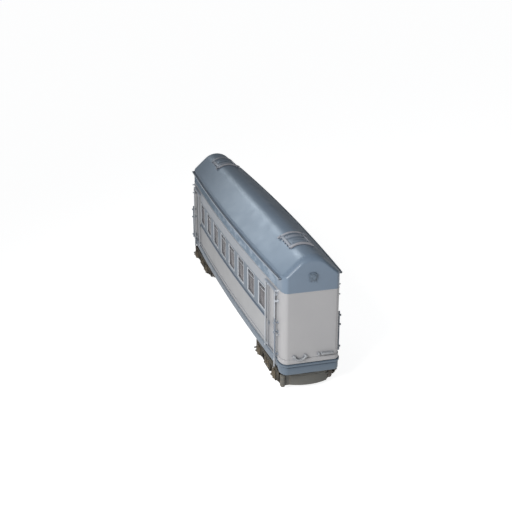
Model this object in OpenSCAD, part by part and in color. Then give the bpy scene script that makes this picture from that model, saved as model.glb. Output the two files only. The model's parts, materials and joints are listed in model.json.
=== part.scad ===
// Model passenger coach, 0 gauge, on two four-wheel bogies.
// X runs along the coach (+X is the front end), Y across it (+Y is the left side), Z up.
// The origin is on the rail line under the middle of the coach.

/* [Body] */
// Length over the end panels
body_len = 270; // [250:1:300]
// Width at the middle of the coach
mid_w = 47; // [44:0.5:50]
// Width at the ends, before the corners are rounded
end_w = 40; // [37:0.5:42]
// Wall thickness of the sides, ends and roof
wall = 1.5; // [1.2:0.1:1.8]
// Height of the body's lower edge above the rail line
sill_z = 16; // [16:0.5:18]

/* [Windows] */
// Windows on each side
window_count = 8; // [4:2:8]
// Distance between window centres
window_pitch = 26; // [22:0.5:26]
// Width of a window opening
window_w = 16.6; // [12:0.2:18]
// Height of a window opening
window_h = 18; // [14:0.5:19]

/* [Roof] */
// Height of the crown above the rail line, at mid length
crown_z = 98.4; // [96:0.2:100]
// Radius of the crown across the roof
crown_r = 14; // [12:0.5:16]
// How much lower the crown is at the ends
crown_drop = 0.8; // [0:0.1:2]

/* [Bogies] */
// Distance from the middle of the coach to a bogie pivot
pivot_x = 101; // [95:1:103]
// Distance between a bogie's axles
wheelbase = 38; // [34:1:38]
// Radius of the wheel tread
tread_r = 7.5; // [7:0.1:7.5]
// Radius of the wheel flange
flange_r = 8.4; // [8:0.1:8.4]
// Distance between the backs of the two wheels of an axle
back_to_back = 29; // [28.5:0.1:29.2]

/* [Wire] */
// Diameter of the handrail wire
wire_d = 1.1; // [0.8:0.1:1.4]

/* [Hidden] */
$fn = 48;

half_len = body_len / 2;
fine = 0.1;                 // gap between neighbouring pieces
cut = 1;                    // how far a cutting shape runs past a face

// Levels, from the rail line
sill_top_z = sill_z + 5.9;
belt_z = sill_z + 26;
window_z = sill_z + 29.6;
eaves_z = sill_z + 57.3;
gutter_z = sill_z + 66;
shoulder_z = sill_z + 70;
floor_z = sill_z + 1.6;
floor_t = 2;
beam_z = sill_z - 2;

// Plan of the body: sides bowed outwards, elliptical corners
side_end_x = half_len - 9;
corner_x = half_len - 7;
corner_rx = 7;
corner_ry = 4;
plan_step = 9;

// Doors and the fittings around them
door_x = 112.6;
door_w = 17;
door_z = sill_top_z + 0.6;
door_h = 48;
door_inset = 0.9;
door_t = 0.9;
pane_x0 = 1.4;              // the leaf's pane, from its middle and its lower edge
pane_z0 = 25;
pane_z1 = 43.5;
rail_off = 2.3;
belt_end_x = 101;

// Roof hatches
hatch_x = 100;
hatch_l = 24;
hatch_w = 17;
hatch_h = 0.9;
hatch_rim = 1.3;

// Bogie, measured from its pivot
axle_z = flange_r;
axle_r = 1.5;
journal_r = 1.0;
journal_gap = 0.06;
wheel_in = back_to_back / 2;
wheel_w = 3.6;
wheel_out = wheel_in + wheel_w;
frame_in = wheel_out + 0.8;
frame_out = frame_in + 2.3;
frame_half = 27;
frame_short = 23;           // outer reach on the left side, which has no guard cheek
frame_top = 13.6;
frame_bottom = 4;
bolster_z = 10;
bolster_top = 13.4;
bolster_half = 5;
spigot_r = 2;
pivot_gap = 0.06;
lift = 0.3;

guard_r = 31;
guard_t = 1.2;
guard_y = 13.6;
guard_z = 3;
guard_h = 9;

coupler_x = half_len - 9;
coupler_r = 1.25;
coupler_boss_h = 4;
screw_r = 1.0;
screw_x = 64;

cream = "#B6B8B8";
cream_dark = "#A8ACB1";
roof_blue = "#8694A3";
stripe_blue = "#8291A2";
line_blue = "#6B7889";
frame_grey = "#5F5C55";
rust_grey = "#6E6659";
wheel_grey = "#4A4947";
glass_tone = "#827F80";
steel = "#9A9DA0";
seat_tone = "#6B5148";

// Half width of the body at x, before the corners are rounded
function half_w(x) = mid_w / 2 - (mid_w - end_w) / 2 * pow(x / half_len, 2);

// Angle of the bowed side at x
function side_angle(x) = atan(-(mid_w - end_w) * x / pow(half_len, 2));

// Points along a side from x0 to x1, d outside the wall's face, on stations that all strips share
function side_path(x0, x1, d) =
    let (first = floor(x0 / plan_step) + 1,
         last = ceil(x1 / plan_step) - 1,
         stations = concat([x0], [for (i = [first:last]) i * plan_step], [x1]))
    [for (x = stations) [x, half_w(x) + d]];

// Points from the side's end round one corner to the end panel, d outside the face
function corner_path(x0, d) = concat(
    [[x0, half_w(x0) + d]],
    [for (a = [0:10:90])
        [corner_x + (corner_rx + d) * sin(a),
         half_w(corner_x) + d - (corner_ry + d) * (1 - cos(a))]]);

function reversed(list) = [for (i = [len(list) - 1:-1:0]) list[i]];
function flip_y(list) = [for (p = list) [p[0], -p[1]]];

// Height of the crown at x
function ridge_z(x) = crown_z - crown_drop * pow(x / half_len, 2);

module at_rear() { mirror([1, 0, 0]) children(); }
module on_right() { mirror([0, 1, 0]) children(); }
module both_ends() {
    children();
    at_rear() children();
}

module both_sides() {
    children();
    on_right() children();
}

module four_corners() {
    both_ends() both_sides() children();
}

// A strip that follows the left side between two offsets and two heights
module side_strip(x0, x1, d_in, d_out, z0, z1) {
    translate([0, 0, z0])
        linear_extrude(z1 - z0)
            polygon(concat(side_path(x0, x1, d_out), reversed(side_path(x0, x1, d_in))));
}

// Filled plan of the front end from x0 forward, d outside the body's face
module end_plan(x0, d) {
    polygon(concat(corner_path(x0, d), reversed(flip_y(corner_path(x0, d)))));
}

// A band round the front end between two offsets and two heights
module end_band(d_in, d_out, z0, z1) {
    translate([0, 0, z0])
        linear_extrude(z1 - z0)
            difference() {
                end_plan(side_end_x, d_out);
                end_plan(side_end_x - cut, d_in);
            }
}

// Places children on the left side's face at x, turned to the face
module on_side(x, z) {
    translate([x, half_w(x), z])
        rotate([0, 0, side_angle(x)])
            children();
}

module window_places() {
    for (i = [0:window_count - 1])
        on_side((i - (window_count - 1) / 2) * window_pitch, window_z)
            children();
}

module box(x0, x1, y0, y1, z0, z1) {
    translate([x0, y0, z0]) cube([x1 - x0, y1 - y0, z1 - z0]);
}

module rod_y(r, y0, y1) {
    translate([0, y0, 0]) rotate([-90, 0, 0]) cylinder(h = y1 - y0, r = r);
}

// ---------- underframe ----------

module floor() {
    color("#55585C")
    difference() {
        union() {
            side_floor_plate();
            for (s = [-1, 1]) {
                translate([s * coupler_x, 0, floor_z])
                    cylinder(h = floor_t + coupler_boss_h, r = 3.5);
                translate([s * pivot_x, 0, bolster_top + lift])
                    cylinder(h = floor_z - bolster_top, r = 5);
                translate([s * pivot_x, 0, bolster_z - 0.2])
                    cylinder(h = floor_z - bolster_z, r = spigot_r);
            }
        }
        for (s = [-1, 1]) {
            translate([s * coupler_x, 0, floor_z - cut])
                cylinder(h = floor_t + coupler_boss_h + 2 * cut, r = coupler_r);
            translate([s * pivot_x, 0, bolster_z - cut])
                cylinder(h = 8.5, r = screw_r + 0.02);
            for (t = [-1, 1])
                translate([s * screw_x, t * screw_y(), floor_z - cut])
                    cylinder(h = floor_t + 2 * cut, r = screw_r + 0.1);
        }
    }
}

module side_floor_plate() {
    path = side_path(-side_end_x, side_end_x, -wall);
    nose = half_len - wall;
    translate([0, 0, floor_z])
        linear_extrude(floor_t)
            polygon(concat(
                [[-nose, half_w(nose) - 5]], path, [[nose, half_w(nose) - 5]],
                [[nose, 5 - half_w(nose)]], reversed(flip_y(path)), [[-nose, 5 - half_w(nose)]]));
}

function screw_y() = half_w(screw_x) - wall - 3;

module left_sill() {
    color(stripe_blue)
        side_strip(-side_end_x, side_end_x, -wall, 0.3, sill_z, sill_top_z);
}

module right_sill() { on_right() left_sill(); }

module front_beam() {
    color(stripe_blue)
    union() {
        end_band(-wall, 0.6, beam_z, sill_top_z - 2);
        end_band(-wall, 1.3, sill_top_z - 2, sill_top_z);
    }
}

module rear_beam() { at_rear() front_beam(); }

module ballast_weight() {
    color(steel)
        box(-70, 70, -13, 13, floor_z + floor_t, floor_z + floor_t + 2.5);
}

// One seat with its back, facing the front
module seat() {
    box(-5, 5, 0, 10.9, 0, 7);
    box(-6.5, -4.5, 0, 10.9, 0, 17);
}

module seats() {
    base = floor_z + floor_t + 2.5;
    color(seat_tone)
    union() {
        box(-96, 96, -14.9, 14.9, base, base + 1);
        for (i = [0:6])
            translate([(i - 3) * window_pitch, 4, base + 1]) seat();
        for (i = [0:6])
            translate([(i - 3) * window_pitch, -4, base + 1]) on_right() seat();
        for (s = [-1, 1])
            box(s * 95 - 1, s * 95 + 1, -14.9, 14.9, base, 66);
    }
}

module body_screws() {
    color(steel)
    for (s = [-1, 1], t = [-1, 1])
        translate([s * screw_x, t * screw_y(), floor_z]) {
            translate([0, 0, -1.2]) cylinder(h = 1.2, r = 2);
            cylinder(h = 12, r = screw_r);
        }
}

// ---------- body shell ----------

module left_side() {
    boss_top = window_z - 4;
    color(cream)
    difference() {
        union() {
            side_strip(-side_end_x, side_end_x, -wall, 0, sill_top_z, eaves_z);
            side_strip(-90, 90, -wall - 1, -wall, eaves_z - 4, eaves_z);
            side_strip(-90, 90, -wall - 1, -wall - fine, eaves_z, eaves_z + 2);
            for (s = [-1, 1])
                intersection() {
                    translate([s * screw_x, screw_y(), floor_z + floor_t])
                        cylinder(h = boss_top - floor_z - floor_t, r = 3);
                    side_strip(-half_len, half_len, -9, -wall / 2, 0, boss_top);
                }
        }
        window_places() box(-window_w / 2, window_w / 2, -4, 4, 0, window_h);
        for (s = [-1, 1]) {
            box(s * door_x - door_w / 2, s * door_x + door_w / 2, 10, 30, door_z, door_z + door_h);
            translate([s * screw_x, screw_y(), floor_z])
                cylinder(h = 14, r = screw_r + 0.02);
        }
    }
}

module right_side() { on_right() left_side(); }

// End panel with its two rounded corners and the cream ledge above the beam
module front_end() {
    color(cream_dark)
    union() {
        end_band(-wall, 0, sill_top_z, eaves_z);
        end_band(-wall / 2, 0.6, sill_top_z, sill_top_z + 3.3);
    }
}

module rear_end() { at_rear() front_end(); }

// Frames that line the window openings, with a bar under the top light
module left_window_frames() {
    edge = 0.8;
    w = window_w / 2 - fine;
    color("#C2C4C4")
    window_places()
        difference() {
            box(-w, w, -wall, 0.3, fine, window_h - fine);
            box(edge - w, w - edge, -wall - cut, cut, edge, window_h * 0.74);
            box(edge - w, w - edge, -wall - cut, cut, window_h * 0.74 + edge, window_h - edge);
        }
}

module right_window_frames() { on_right() left_window_frames(); }

// Clear strip behind the windows, and a pane behind each door
module left_glazing() {
    color(glass_tone, 0.6) {
        side_strip(-belt_end_x, belt_end_x, -wall - 0.9, -wall - fine, window_z - 2, eaves_z - 4.5);
        both_ends() door_pane();
    }
}

module door_pane() {
    back = -door_inset - door_t;
    on_side(door_x, door_z)
        box(pane_x0 - 0.8, door_w / 2 - 0.6, back - 0.7, back, pane_z0 - 1, pane_z1 + 1);
}

module right_glazing() { on_right() left_glazing(); }

module left_belt_rail() {
    color(line_blue)
        side_strip(-belt_end_x, belt_end_x, 0, 0.6, belt_z, belt_z + 1.3);
}

module right_belt_rail() { on_right() left_belt_rail(); }

// One door leaf, on the left side at the front
module door_leaf() {
    w = door_w / 2 - fine;
    color(cream)
    on_side(door_x, door_z)
        difference() {
            union() {
                box(-w, w, -door_inset - door_t, -door_inset, fine, door_h - fine);
                box(-0.3, 0.3, -door_inset, -door_inset + 0.3, 2, door_h - 2);
            }
            box(pane_x0, w - 1.1, -4, cut, pane_z0, pane_z1);
            box(-w + 1.8, -1.4, -door_inset - 0.3, cut, 4, 15);
            box(pane_x0, w - 1.1, -door_inset - 0.3, cut, 4, 15);
        }
}

module left_doors() { both_ends() door_leaf(); }

module right_doors() { on_right() left_doors(); }

// Small upright handle at the leaf's inner edge
module door_handles() {
    reach = 0.8;
    color(line_blue)
    four_corners()
        on_side(door_x - door_w / 2 + 1, sill_z + 22.7)
            union() {
                translate([0, reach - door_inset, 0]) cylinder(h = 2.6, r = 0.4);
                for (z = [0.6, 2])
                    translate([0, 0, z]) rod_y(0.3, -door_inset, reach - door_inset);
            }
}

// Rain strips above the doors, with the ends bent down
module door_hoods() {
    half = 11.5;
    tab = 1;
    color(line_blue)
    four_corners()
        on_side(door_x - 1.5, eaves_z - 2.6)
            union() {
                box(-half, half, 0, 1.9, 0, 0.8);
                for (s = [-1, 1])
                    box(s * (half - tab / 2) - tab / 2, s * (half - tab / 2) + tab / 2, 0, 0.9, -1.6, 0);
            }
}

// A vertical wire held off the side by pegs at the given heights
module wire_post(z0, z1, off, pegs, over) {
    translate([0, off, z0]) cylinder(h = z1 - z0, d = wire_d);
    for (z = pegs)
        translate([0, 0, z]) rod_y(wire_d / 2, 0, off + over);
}

module door_posts() {
    z0 = sill_z - 0.8;
    z1 = eaves_z - 3;
    color("#A9B1BA")
    four_corners() {
        on_side(door_x - door_w / 2 - 1.6, 0)
            wire_post(sill_top_z + 0.5, z1, 1.3, [sill_top_z + 2, z1 - 2.1], 0);
        on_side(door_x + door_w / 2 + 1.2, 0)
            wire_post(z0, z1, 1.6, [sill_top_z + 2, belt_z, z1 - 2.1], 0);
    }
}

module corner_grab_rails() {
    color("#7C8794")
    four_corners()
        on_side(side_end_x - 1, 0)
            wire_post(sill_z + 7.2, sill_z + 36.2, rail_off,
                      [sill_z + 10, sill_z + 26.3, sill_z + 33.2], 1.4);
}

// Pointed brackets at the top of each corner and a hook lower down
module corner_brackets() {
    color("#6F7985")
    four_corners() {
        for (dz = [48.7, 56])
            on_side(side_end_x - 1.2, sill_z + dz)
                rotate([-90, 0, 0]) cylinder(h = 2.8, r1 = 1.3, r2 = 0.3);
        on_side(side_end_x + 0.9, sill_z + 25)
            rod_y(0.6, 0, 1.7);
    }
}

// ---------- roof ----------

// Half width of the roof at x, d outside its face
function roof_w(x, d) =
    let (a = abs(x) - corner_x)
    a <= 0 ? half_w(x) + d
           : half_w(corner_x) + d - (corner_ry + d) * (1 - sqrt(max(0, 1 - pow(a / (corner_rx + d), 2))));

// Lengthwise stations, closer together round the corners
function roof_stations(d) =
    let (half = concat([for (a = [90:-10:0]) corner_x + (corner_rx + d) * sin(a)],
                       [for (i = [11:-1:1]) corner_x * i / 12]))
    concat([for (x = half) -x], [0], reversed(half));

// Rounding of the roof's top edge at the ends
edge_r = 2.2;
function edge_drop(x, d) =
    let (a = abs(x) - (half_len + d - edge_r))
    a <= 0 ? 0 : edge_r * (1 - sqrt(max(0, 1 - pow(a / edge_r, 2))));

crown_limit = 38;
crown_steps = 5;

// One cross section at x, from the right eave over the crown to the left eave
function roof_half(x, d) =
    let (w = roof_w(x, d), top = ridge_z(x) + d - edge_drop(x, d),
         r = crown_r + d,
         sy = w - 2.2, sz = shoulder_z + d)
    concat(
        [[w, eaves_z], [w, gutter_z + 1]],
        [for (a = [22.5, 45, 67.5]) [sy + 2.2 * cos(a), gutter_z + 1 + (sz - gutter_z - 1) * sin(a)]],
        [[sy, sz]],
        [for (i = [0:crown_steps - 1])
            let (a = crown_limit * (1 - i / crown_steps))
            [r * sin(a), max(sz + 0.01, top - r * (1 - cos(a)))]]);

function roof_section(x, d) =
    let (h = roof_half(x, d), top = ridge_z(x) + d - edge_drop(x, d))
    concat([for (p = h) [x, -p[0], p[1]]], [[x, 0, top]], [for (p = reversed(h)) [x, p[0], p[1]]]);

module roof() {
    outer = [for (x = roof_stations(0)) roof_section(x, 0)];
    inner = [for (x = roof_stations(-wall)) roof_section(x, -wall)];
    n = len(outer);
    m = len(outer[0]);
    points = [for (s = concat(outer, inner)) each s];
    function o(i, j) = i * m + j;
    function q(i, j) = n * m + i * m + j;
    skin = [for (i = [0:n - 2], j = [0:m - 2]) each [
        [o(i, j), o(i, j + 1), o(i + 1, j + 1)], [o(i, j), o(i + 1, j + 1), o(i + 1, j)],
        [q(i, j), q(i + 1, j + 1), q(i, j + 1)], [q(i, j), q(i + 1, j), q(i + 1, j + 1)]]];
    caps = [
        [for (j = [m - 1:-1:0]) o(0, j)], [for (j = [0:m - 1]) o(n - 1, j)],
        [for (j = [0:m - 1]) q(0, j)], [for (j = [m - 1:-1:0]) q(n - 1, j)]];
    rim = [for (i = [0:n - 2]) each [
        [o(i, 0), o(i + 1, 0), q(i + 1, 0), q(i, 0)],
        [o(i + 1, m - 1), o(i, m - 1), q(i, m - 1), q(i + 1, m - 1)]]];
    ends = [
        [o(0, m - 1), o(0, 0), q(0, 0), q(0, m - 1)],
        [o(n - 1, 0), o(n - 1, m - 1), q(n - 1, m - 1), q(n - 1, 0)]];
    color(roof_blue)
        polyhedron(points = points, faces = concat(skin, caps, rim, ends), convexity = 6);
}

// Gutter: a shelf with an upstand along its edge
module left_gutter() {
    reach = half_len - 5;
    path_out = [for (x = side_stations(reach)) [x, roof_w(x, 0) + 2]];
    path_lip = [for (x = side_stations(reach)) [x, roof_w(x, 0) + 1.4]];
    path_in = [for (x = side_stations(reach)) [x, roof_w(x, 0)]];
    color("#9AA3AD")
    translate([0, 0, gutter_z - 0.2])
        union() {
            linear_extrude(0.6) polygon(concat(path_out, reversed(path_in)));
            linear_extrude(1.2) polygon(concat(path_out, reversed(path_lip)));
        }
}

function side_stations(reach) =
    concat([-reach], [for (i = [-12:12]) i * corner_x / 12], [reach]);

module right_gutter() { on_right() left_gutter(); }

// A plate bent over the crown, at the front hatch
module crown_plate(l, w, h0, h1) {
    slope = atan(2 * crown_drop * hatch_x / pow(half_len, 2));
    translate([hatch_x, 0, ridge_z(hatch_x)])
        rotate([0, slope, 0])
            translate([0, 0, -crown_r])
                intersection() {
                    rotate([0, 90, 0])
                        translate([0, 0, -l / 2])
                            difference() {
                                cylinder(h = l, r = crown_r + h1, $fn = 96);
                                translate([0, 0, -cut])
                                    cylinder(h = l + 2 * cut, r = crown_r + h0, $fn = 96);
                            }
                    box(-l, l, -w / 2, w / 2, 0, 3 * crown_r);
                }
}

module front_hatch_frame() {
    color(roof_blue)
    difference() {
        crown_plate(hatch_l, hatch_w, 0.08, hatch_h);
        crown_plate_space();
    }
}

module crown_plate_space() {
    translate([hatch_x, 0, ridge_z(hatch_x) - crown_r])
        box(hatch_rim - hatch_l / 2, hatch_l / 2 - hatch_rim,
            hatch_rim - hatch_w / 2, hatch_w / 2 - hatch_rim, 0, 3 * crown_r);
}

module rear_hatch_frame() { at_rear() front_hatch_frame(); }

module front_hatch_lid() {
    color("#7E8A98")
        crown_plate(hatch_l - 2 * hatch_rim - 0.4, hatch_w - 2 * hatch_rim - 0.4, 0.08, 0.5);
}

module rear_hatch_lid() { at_rear() front_hatch_lid(); }

// Small lamp case on the end of the roof: a box with a rounded foot and a lens
module front_lamp() {
    w = 2.7;
    color(stripe_blue)
    translate([half_len, 0, shoulder_z - 2.3])
        rotate([0, 90, 0])
            union() {
                linear_extrude(1.1)
                    union() {
                        translate([-2.4, -w]) square([2.4, 2 * w]);
                        circle(r = w);
                    }
                cylinder(h = 1.5, r = 1.7);
            }
}

module rear_lamp() { at_rear() front_lamp(); }

// Drooping handle and straight step bar low on the end panel
module front_handles() {
    r = 0.7;
    off = 1.3;
    droop_y = -8.3;
    droop_half = 4;
    bend = 4.4;
    turn = asin(droop_half / bend);
    color("#B4B7BA")
    translate([half_len, 0, sill_top_z + 5.5]) {
        translate([off, droop_y, bend * cos(turn)])
            rotate([0, 90, 0])
                rotate([0, 0, -turn])
                    rotate_extrude(angle = 2 * turn) translate([bend, 0]) circle(r = r, $fn = 24);
        for (y = [droop_y - droop_half, droop_y + droop_half])
            translate([0, y, 0]) rotate([0, 90, 0]) cylinder(h = off + r + 0.1, r = r + 0.2);
        translate([off, 6.8, 0]) rod_y(r, 0, 8.6);
        for (y = [7.6, 14.6])
            translate([0, y, 0]) rotate([0, 90, 0]) cylinder(h = off, r = r);
        box(0, 1.6, 4.2, 5.6, -0.9, 1.1);
    }
}

module rear_handles() { at_rear() front_handles(); }

// ---------- bogies, drawn at their pivot ----------

module at_pivot() { translate([pivot_x, 0, 0]) children(); }

module front_pivot_screw() {
    color(steel)
    at_pivot() {
        translate([0, 0, bolster_z - 1.6]) cylinder(h = 1.4, r = 3.4);
        translate([0, 0, bolster_z - 0.2]) cylinder(h = 7, r = screw_r);
    }
}

module rear_pivot_screw() { at_rear() front_pivot_screw(); }

module front_bogie_frame() {
    color(frame_grey)
    at_pivot()
        difference() {
            union() {
                box(-bolster_half, bolster_half, -frame_in, frame_in, bolster_z, bolster_top);
                for (s = [-1, 1])
                    box(s * 8 - 1.6, s * 8 + 1, -8, 8, bolster_z + 0.6, bolster_top - 0.6);
                box(-8, 8, -8, -6, bolster_z + 0.6, bolster_top - 0.6);
                box(-8, 8, 6, 8, bolster_z + 0.6, bolster_top - 0.6);
            }
            translate([0, 0, bolster_z - cut])
                cylinder(h = bolster_top - bolster_z + 2 * cut, r = spigot_r + pivot_gap);
        }
}

module rear_bogie_frame() { at_rear() front_bogie_frame(); }

// One side frame on the left: top bar, two axle guards, a middle spring plank and end pieces.
// outer_end is how far it reaches from the pivot towards the coach's end
module side_frame(outer_end) {
    axle = wheelbase / 2;
    post_x = 6.2;
    end_l = 4;
    end_z = frame_bottom + 2;
    difference() {
        union() {
            box(-frame_half, outer_end, frame_in, frame_out, frame_top - 2.6, frame_top);
            for (s = [-1, 1])
                box(s * axle - 4, s * axle + 4, frame_in, frame_out, frame_bottom + 1, frame_top - 1);
            box(-7, 7, frame_in, frame_out, frame_bottom, frame_bottom + 2.2);
            for (s = [-1, 1])
                box(s * post_x - 0.8, s * post_x + 0.8, frame_in, frame_out, frame_bottom, frame_top);
            box(-frame_half, end_l - frame_half, frame_in, frame_out, end_z, frame_top);
            box(outer_end - end_l, outer_end, frame_in, frame_out, end_z, frame_top);
        }
        for (s = [-1, 1])
            translate([s * axle, 0, axle_z])
                rod_y(journal_r + journal_gap, frame_in - cut, frame_in + 1.9);
    }
}

module front_side_frames() {
    color(frame_grey)
    at_pivot() {
        side_frame(frame_short);
        on_right() side_frame(frame_half);
    }
}

module rear_side_frames() { at_rear() front_side_frames(); }

// Axlebox: a stepped block with a round cover
module axlebox() {
    box(-3, 3, frame_out, frame_out + 0.9, axle_z - 3.3, axle_z + 3.3);
    box(-2.3, 2.3, frame_out + 0.9, frame_out + 1.5, axle_z - 2.6, axle_z + 2.6);
    translate([0, 0, axle_z]) rod_y(1.7, frame_out + 1.5, frame_out + 2.2);
}

module front_axleboxes() {
    color(rust_grey)
    at_pivot()
        for (s = [-1, 1])
            translate([s * wheelbase / 2, 0, 0]) {
                axlebox();
                on_right() axlebox();
            }
}

module rear_axleboxes() { at_rear() front_axleboxes(); }

// Coil spring drawn as a stack of rounds, standing in the middle of the side frame
module coil(h) {
    turns = 4;
    rotate_extrude()
        union() {
            square([0.9, h]);
            for (i = [0:turns - 1])
                translate([0.9, (i + 0.5) * h / turns]) circle(r = h / turns / 2 - 0.02, $fn = 16);
        }
}

module front_springs() {
    seat_z = frame_bottom + 2.2;
    h = frame_top - 2.6 - seat_z;
    color(rust_grey)
    at_pivot()
        for (s = [-1, 1], t = [-1, 1])
            translate([s * 3, t * (frame_in + 1.6), seat_z]) coil(h);
}

module rear_springs() { at_rear() front_springs(); }

// Brake beams with a block inside each wheel
module front_brake_gear() {
    block_x = wheelbase / 2 - tread_r - 2.4;
    color(frame_grey)
    at_pivot()
        for (s = [-1, 1])
            union() {
                box(s * block_x - 0.5, s * block_x + 0.5, -18, 18, bolster_z, bolster_z + 0.6);
                for (t = [-1, 1])
                    box(s * block_x - 0.9, s * block_x + 0.9, t * 16.9 - 1, t * 16.9 + 1,
                        axle_z - 2.6, axle_z + 2.6);
            }
}

module rear_brake_gear() { at_rear() front_brake_gear(); }

// Bowed guard across the bogie's outer end, on two arms, with a rounded cheek on the right
module front_end_guard() {
    cheek_x = frame_half + 0.9;
    cheek_r = 1.6;
    arm_x = sqrt(pow(guard_r - guard_t, 2) - pow(guard_y, 2)) + 0.3;
    color(frame_grey)
    at_pivot() {
        translate([0, 0, guard_z])
            linear_extrude(guard_h)
                union() {
                    intersection() {
                        difference() {
                            circle(r = guard_r, $fn = 128);
                            circle(r = guard_r - guard_t, $fn = 128);
                        }
                        translate([0, -guard_y]) square([guard_r + 1, 2 * guard_y]);
                    }
                    translate([cheek_x, -17.6]) square([1.4, 5.2]);
                    translate([frame_half, -frame_in - 1]) square([2.2, 2]);
                    translate([cheek_x + 0.7, 0.6 - frame_in]) circle(r = cheek_r, $fn = 32);
                }
        translate([28.2, 0, guard_z + 5.6]) rod_y(0.6, guard_y - cut, guard_y + cut);
        both_sides()
            box(bolster_half, arm_x, guard_y - 1.3, guard_y - 0.1, bolster_z + 0.7, bolster_z + 1.7);
    }
}

module rear_end_guard() { at_rear() front_end_guard(); }

module axle(x) {
    color(steel)
    translate([pivot_x + x, 0, axle_z])
        union() {
            rod_y(axle_r, -wheel_out - 0.2, wheel_out + 0.2);
            rod_y(journal_r, -frame_in - 1.7, frame_in + 1.7);
        }
}

// Wheel profile: flange at the back, tread, thin web and hub
module wheel() {
    rotate([-90, 0, 0])
        rotate_extrude($fn = 96)
            polygon([
                [axle_r, wheel_in - 0.1], [3.2, wheel_in - 0.1], [3.2, wheel_in + 1.1],
                [6.2, wheel_in + 1.1], [6.2, wheel_in], [flange_r - 0.3, wheel_in],
                [flange_r, wheel_in + 0.4], [flange_r - 0.2, wheel_in + 0.8],
                [tread_r, wheel_in + 1.3], [tread_r, wheel_out], [6.4, wheel_out],
                [6.2, wheel_out - 0.9], [3.4, wheel_out - 1.1], [3.2, wheel_out + 0.1],
                [axle_r, wheel_out + 0.1]]);
}

module wheels(x) {
    color(wheel_grey)
    translate([pivot_x + x, 0, axle_z]) {
        wheel();
        on_right() wheel();
    }
}

module front_outer_axle() { axle(wheelbase / 2); }
module front_inner_axle() { axle(-wheelbase / 2); }
module rear_outer_axle() { at_rear() front_outer_axle(); }
module rear_inner_axle() { at_rear() front_inner_axle(); }
module front_outer_wheels() { wheels(wheelbase / 2); }
module front_inner_wheels() { wheels(-wheelbase / 2); }
module rear_outer_wheels() { at_rear() front_outer_wheels(); }
module rear_inner_wheels() { at_rear() front_inner_wheels(); }

floor();
left_sill();
right_sill();
front_beam();
rear_beam();
ballast_weight();
seats();
body_screws();
left_side();
right_side();
front_end();
rear_end();
left_window_frames();
right_window_frames();
left_glazing();
right_glazing();
left_belt_rail();
right_belt_rail();
left_doors();
right_doors();
door_handles();
door_hoods();
door_posts();
corner_grab_rails();
corner_brackets();
roof();
left_gutter();
right_gutter();
front_hatch_frame();
front_hatch_lid();
rear_hatch_frame();
rear_hatch_lid();
front_lamp();
rear_lamp();
front_handles();
rear_handles();
front_pivot_screw();
rear_pivot_screw();
front_bogie_frame();
front_side_frames();
front_axleboxes();
front_springs();
front_brake_gear();
front_end_guard();
front_outer_axle();
front_outer_wheels();
front_inner_axle();
front_inner_wheels();
rear_bogie_frame();
rear_side_frames();
rear_axleboxes();
rear_springs();
rear_brake_gear();
rear_end_guard();
rear_outer_axle();
rear_outer_wheels();
rear_inner_axle();
rear_inner_wheels();
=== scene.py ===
"""Model passenger coach: the looks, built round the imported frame.

Lengths are in millimetres; Shape.object() turns them into metres.
"""

import json
import math
from contextlib import contextmanager

import bmesh
import bpy
from mathutils import Matrix, Vector


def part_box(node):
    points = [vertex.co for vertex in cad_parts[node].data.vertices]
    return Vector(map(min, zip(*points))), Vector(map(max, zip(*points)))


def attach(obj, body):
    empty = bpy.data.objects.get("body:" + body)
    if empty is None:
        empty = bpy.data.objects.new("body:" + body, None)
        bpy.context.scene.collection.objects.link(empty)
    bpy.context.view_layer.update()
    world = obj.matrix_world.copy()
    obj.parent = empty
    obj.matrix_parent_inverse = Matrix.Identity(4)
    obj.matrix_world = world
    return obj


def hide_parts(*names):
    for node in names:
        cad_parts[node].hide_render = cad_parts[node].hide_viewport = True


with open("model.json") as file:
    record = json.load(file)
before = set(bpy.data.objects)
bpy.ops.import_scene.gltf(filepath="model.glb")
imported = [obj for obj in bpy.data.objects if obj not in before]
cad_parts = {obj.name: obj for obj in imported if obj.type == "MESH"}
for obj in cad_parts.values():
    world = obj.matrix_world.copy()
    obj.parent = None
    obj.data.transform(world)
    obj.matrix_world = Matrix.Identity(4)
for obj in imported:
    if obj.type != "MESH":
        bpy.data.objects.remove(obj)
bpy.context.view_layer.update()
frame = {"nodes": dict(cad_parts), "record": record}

MM = 0.001


def cad(node):
    """The lowest and highest corners of a CAD node, in millimetres."""
    low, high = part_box(node)
    return [v / MM for v in low], [v / MM for v in high]


# ---------- sizes, from the frame ----------

HALF = cad("roof")[1][0]
MID_W = cad("left_side")[1][1]
END_W = MID_W - 3.5
WALL = 1.5
SIDE_END = cad("left_side")[1][0]
CORNER_X = HALF - 7.0
CORNER_RX = 7.0
CORNER_RY = 4.0
SILL_Z = cad("left_sill")[0][2]
SILL_TOP = cad("left_sill")[1][2]
BEAM_Z = cad("front_beam")[0][2]
EAVES_Z = cad("roof")[0][2]
GUTTER_BASE = cad("left_gutter")[0][2]
GUTTER_END = cad("left_gutter")[1][0]
CROWN_Z = SILL_Z + 82.4
CROWN_DROP = 0.8
CROWN_R = 14.0
CROWN_BEND = math.radians(38.0)
SHOULDER_Z = SILL_Z + 70.0
SHOULDER_W = 3.8
END_ROUND = 6.4
END_DROP = 3.6
BELT_Z = cad("left_belt_rail")[0][2]
BELT_END = cad("left_belt_rail")[1][0]
BAND_TOP = SILL_Z + 48.6
WINDOW_Z = SILL_Z + 29.6
WINDOW_W = 16.6
WINDOW_H = 18.0
TRANSOM_Z = 0.74 * WINDOW_H
WINDOW_X = [(i - 3.5) * 26.0 for i in range(8)]
DOOR_X = 112.6
DOOR_W = 17.0
DOOR_Z = SILL_TOP + 0.6
DOOR_H = 48.0
DOOR_FACE = -0.9
PANE = (1.4, 7.3, 25.0, 43.5)
HATCH_X = 100.0
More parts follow.
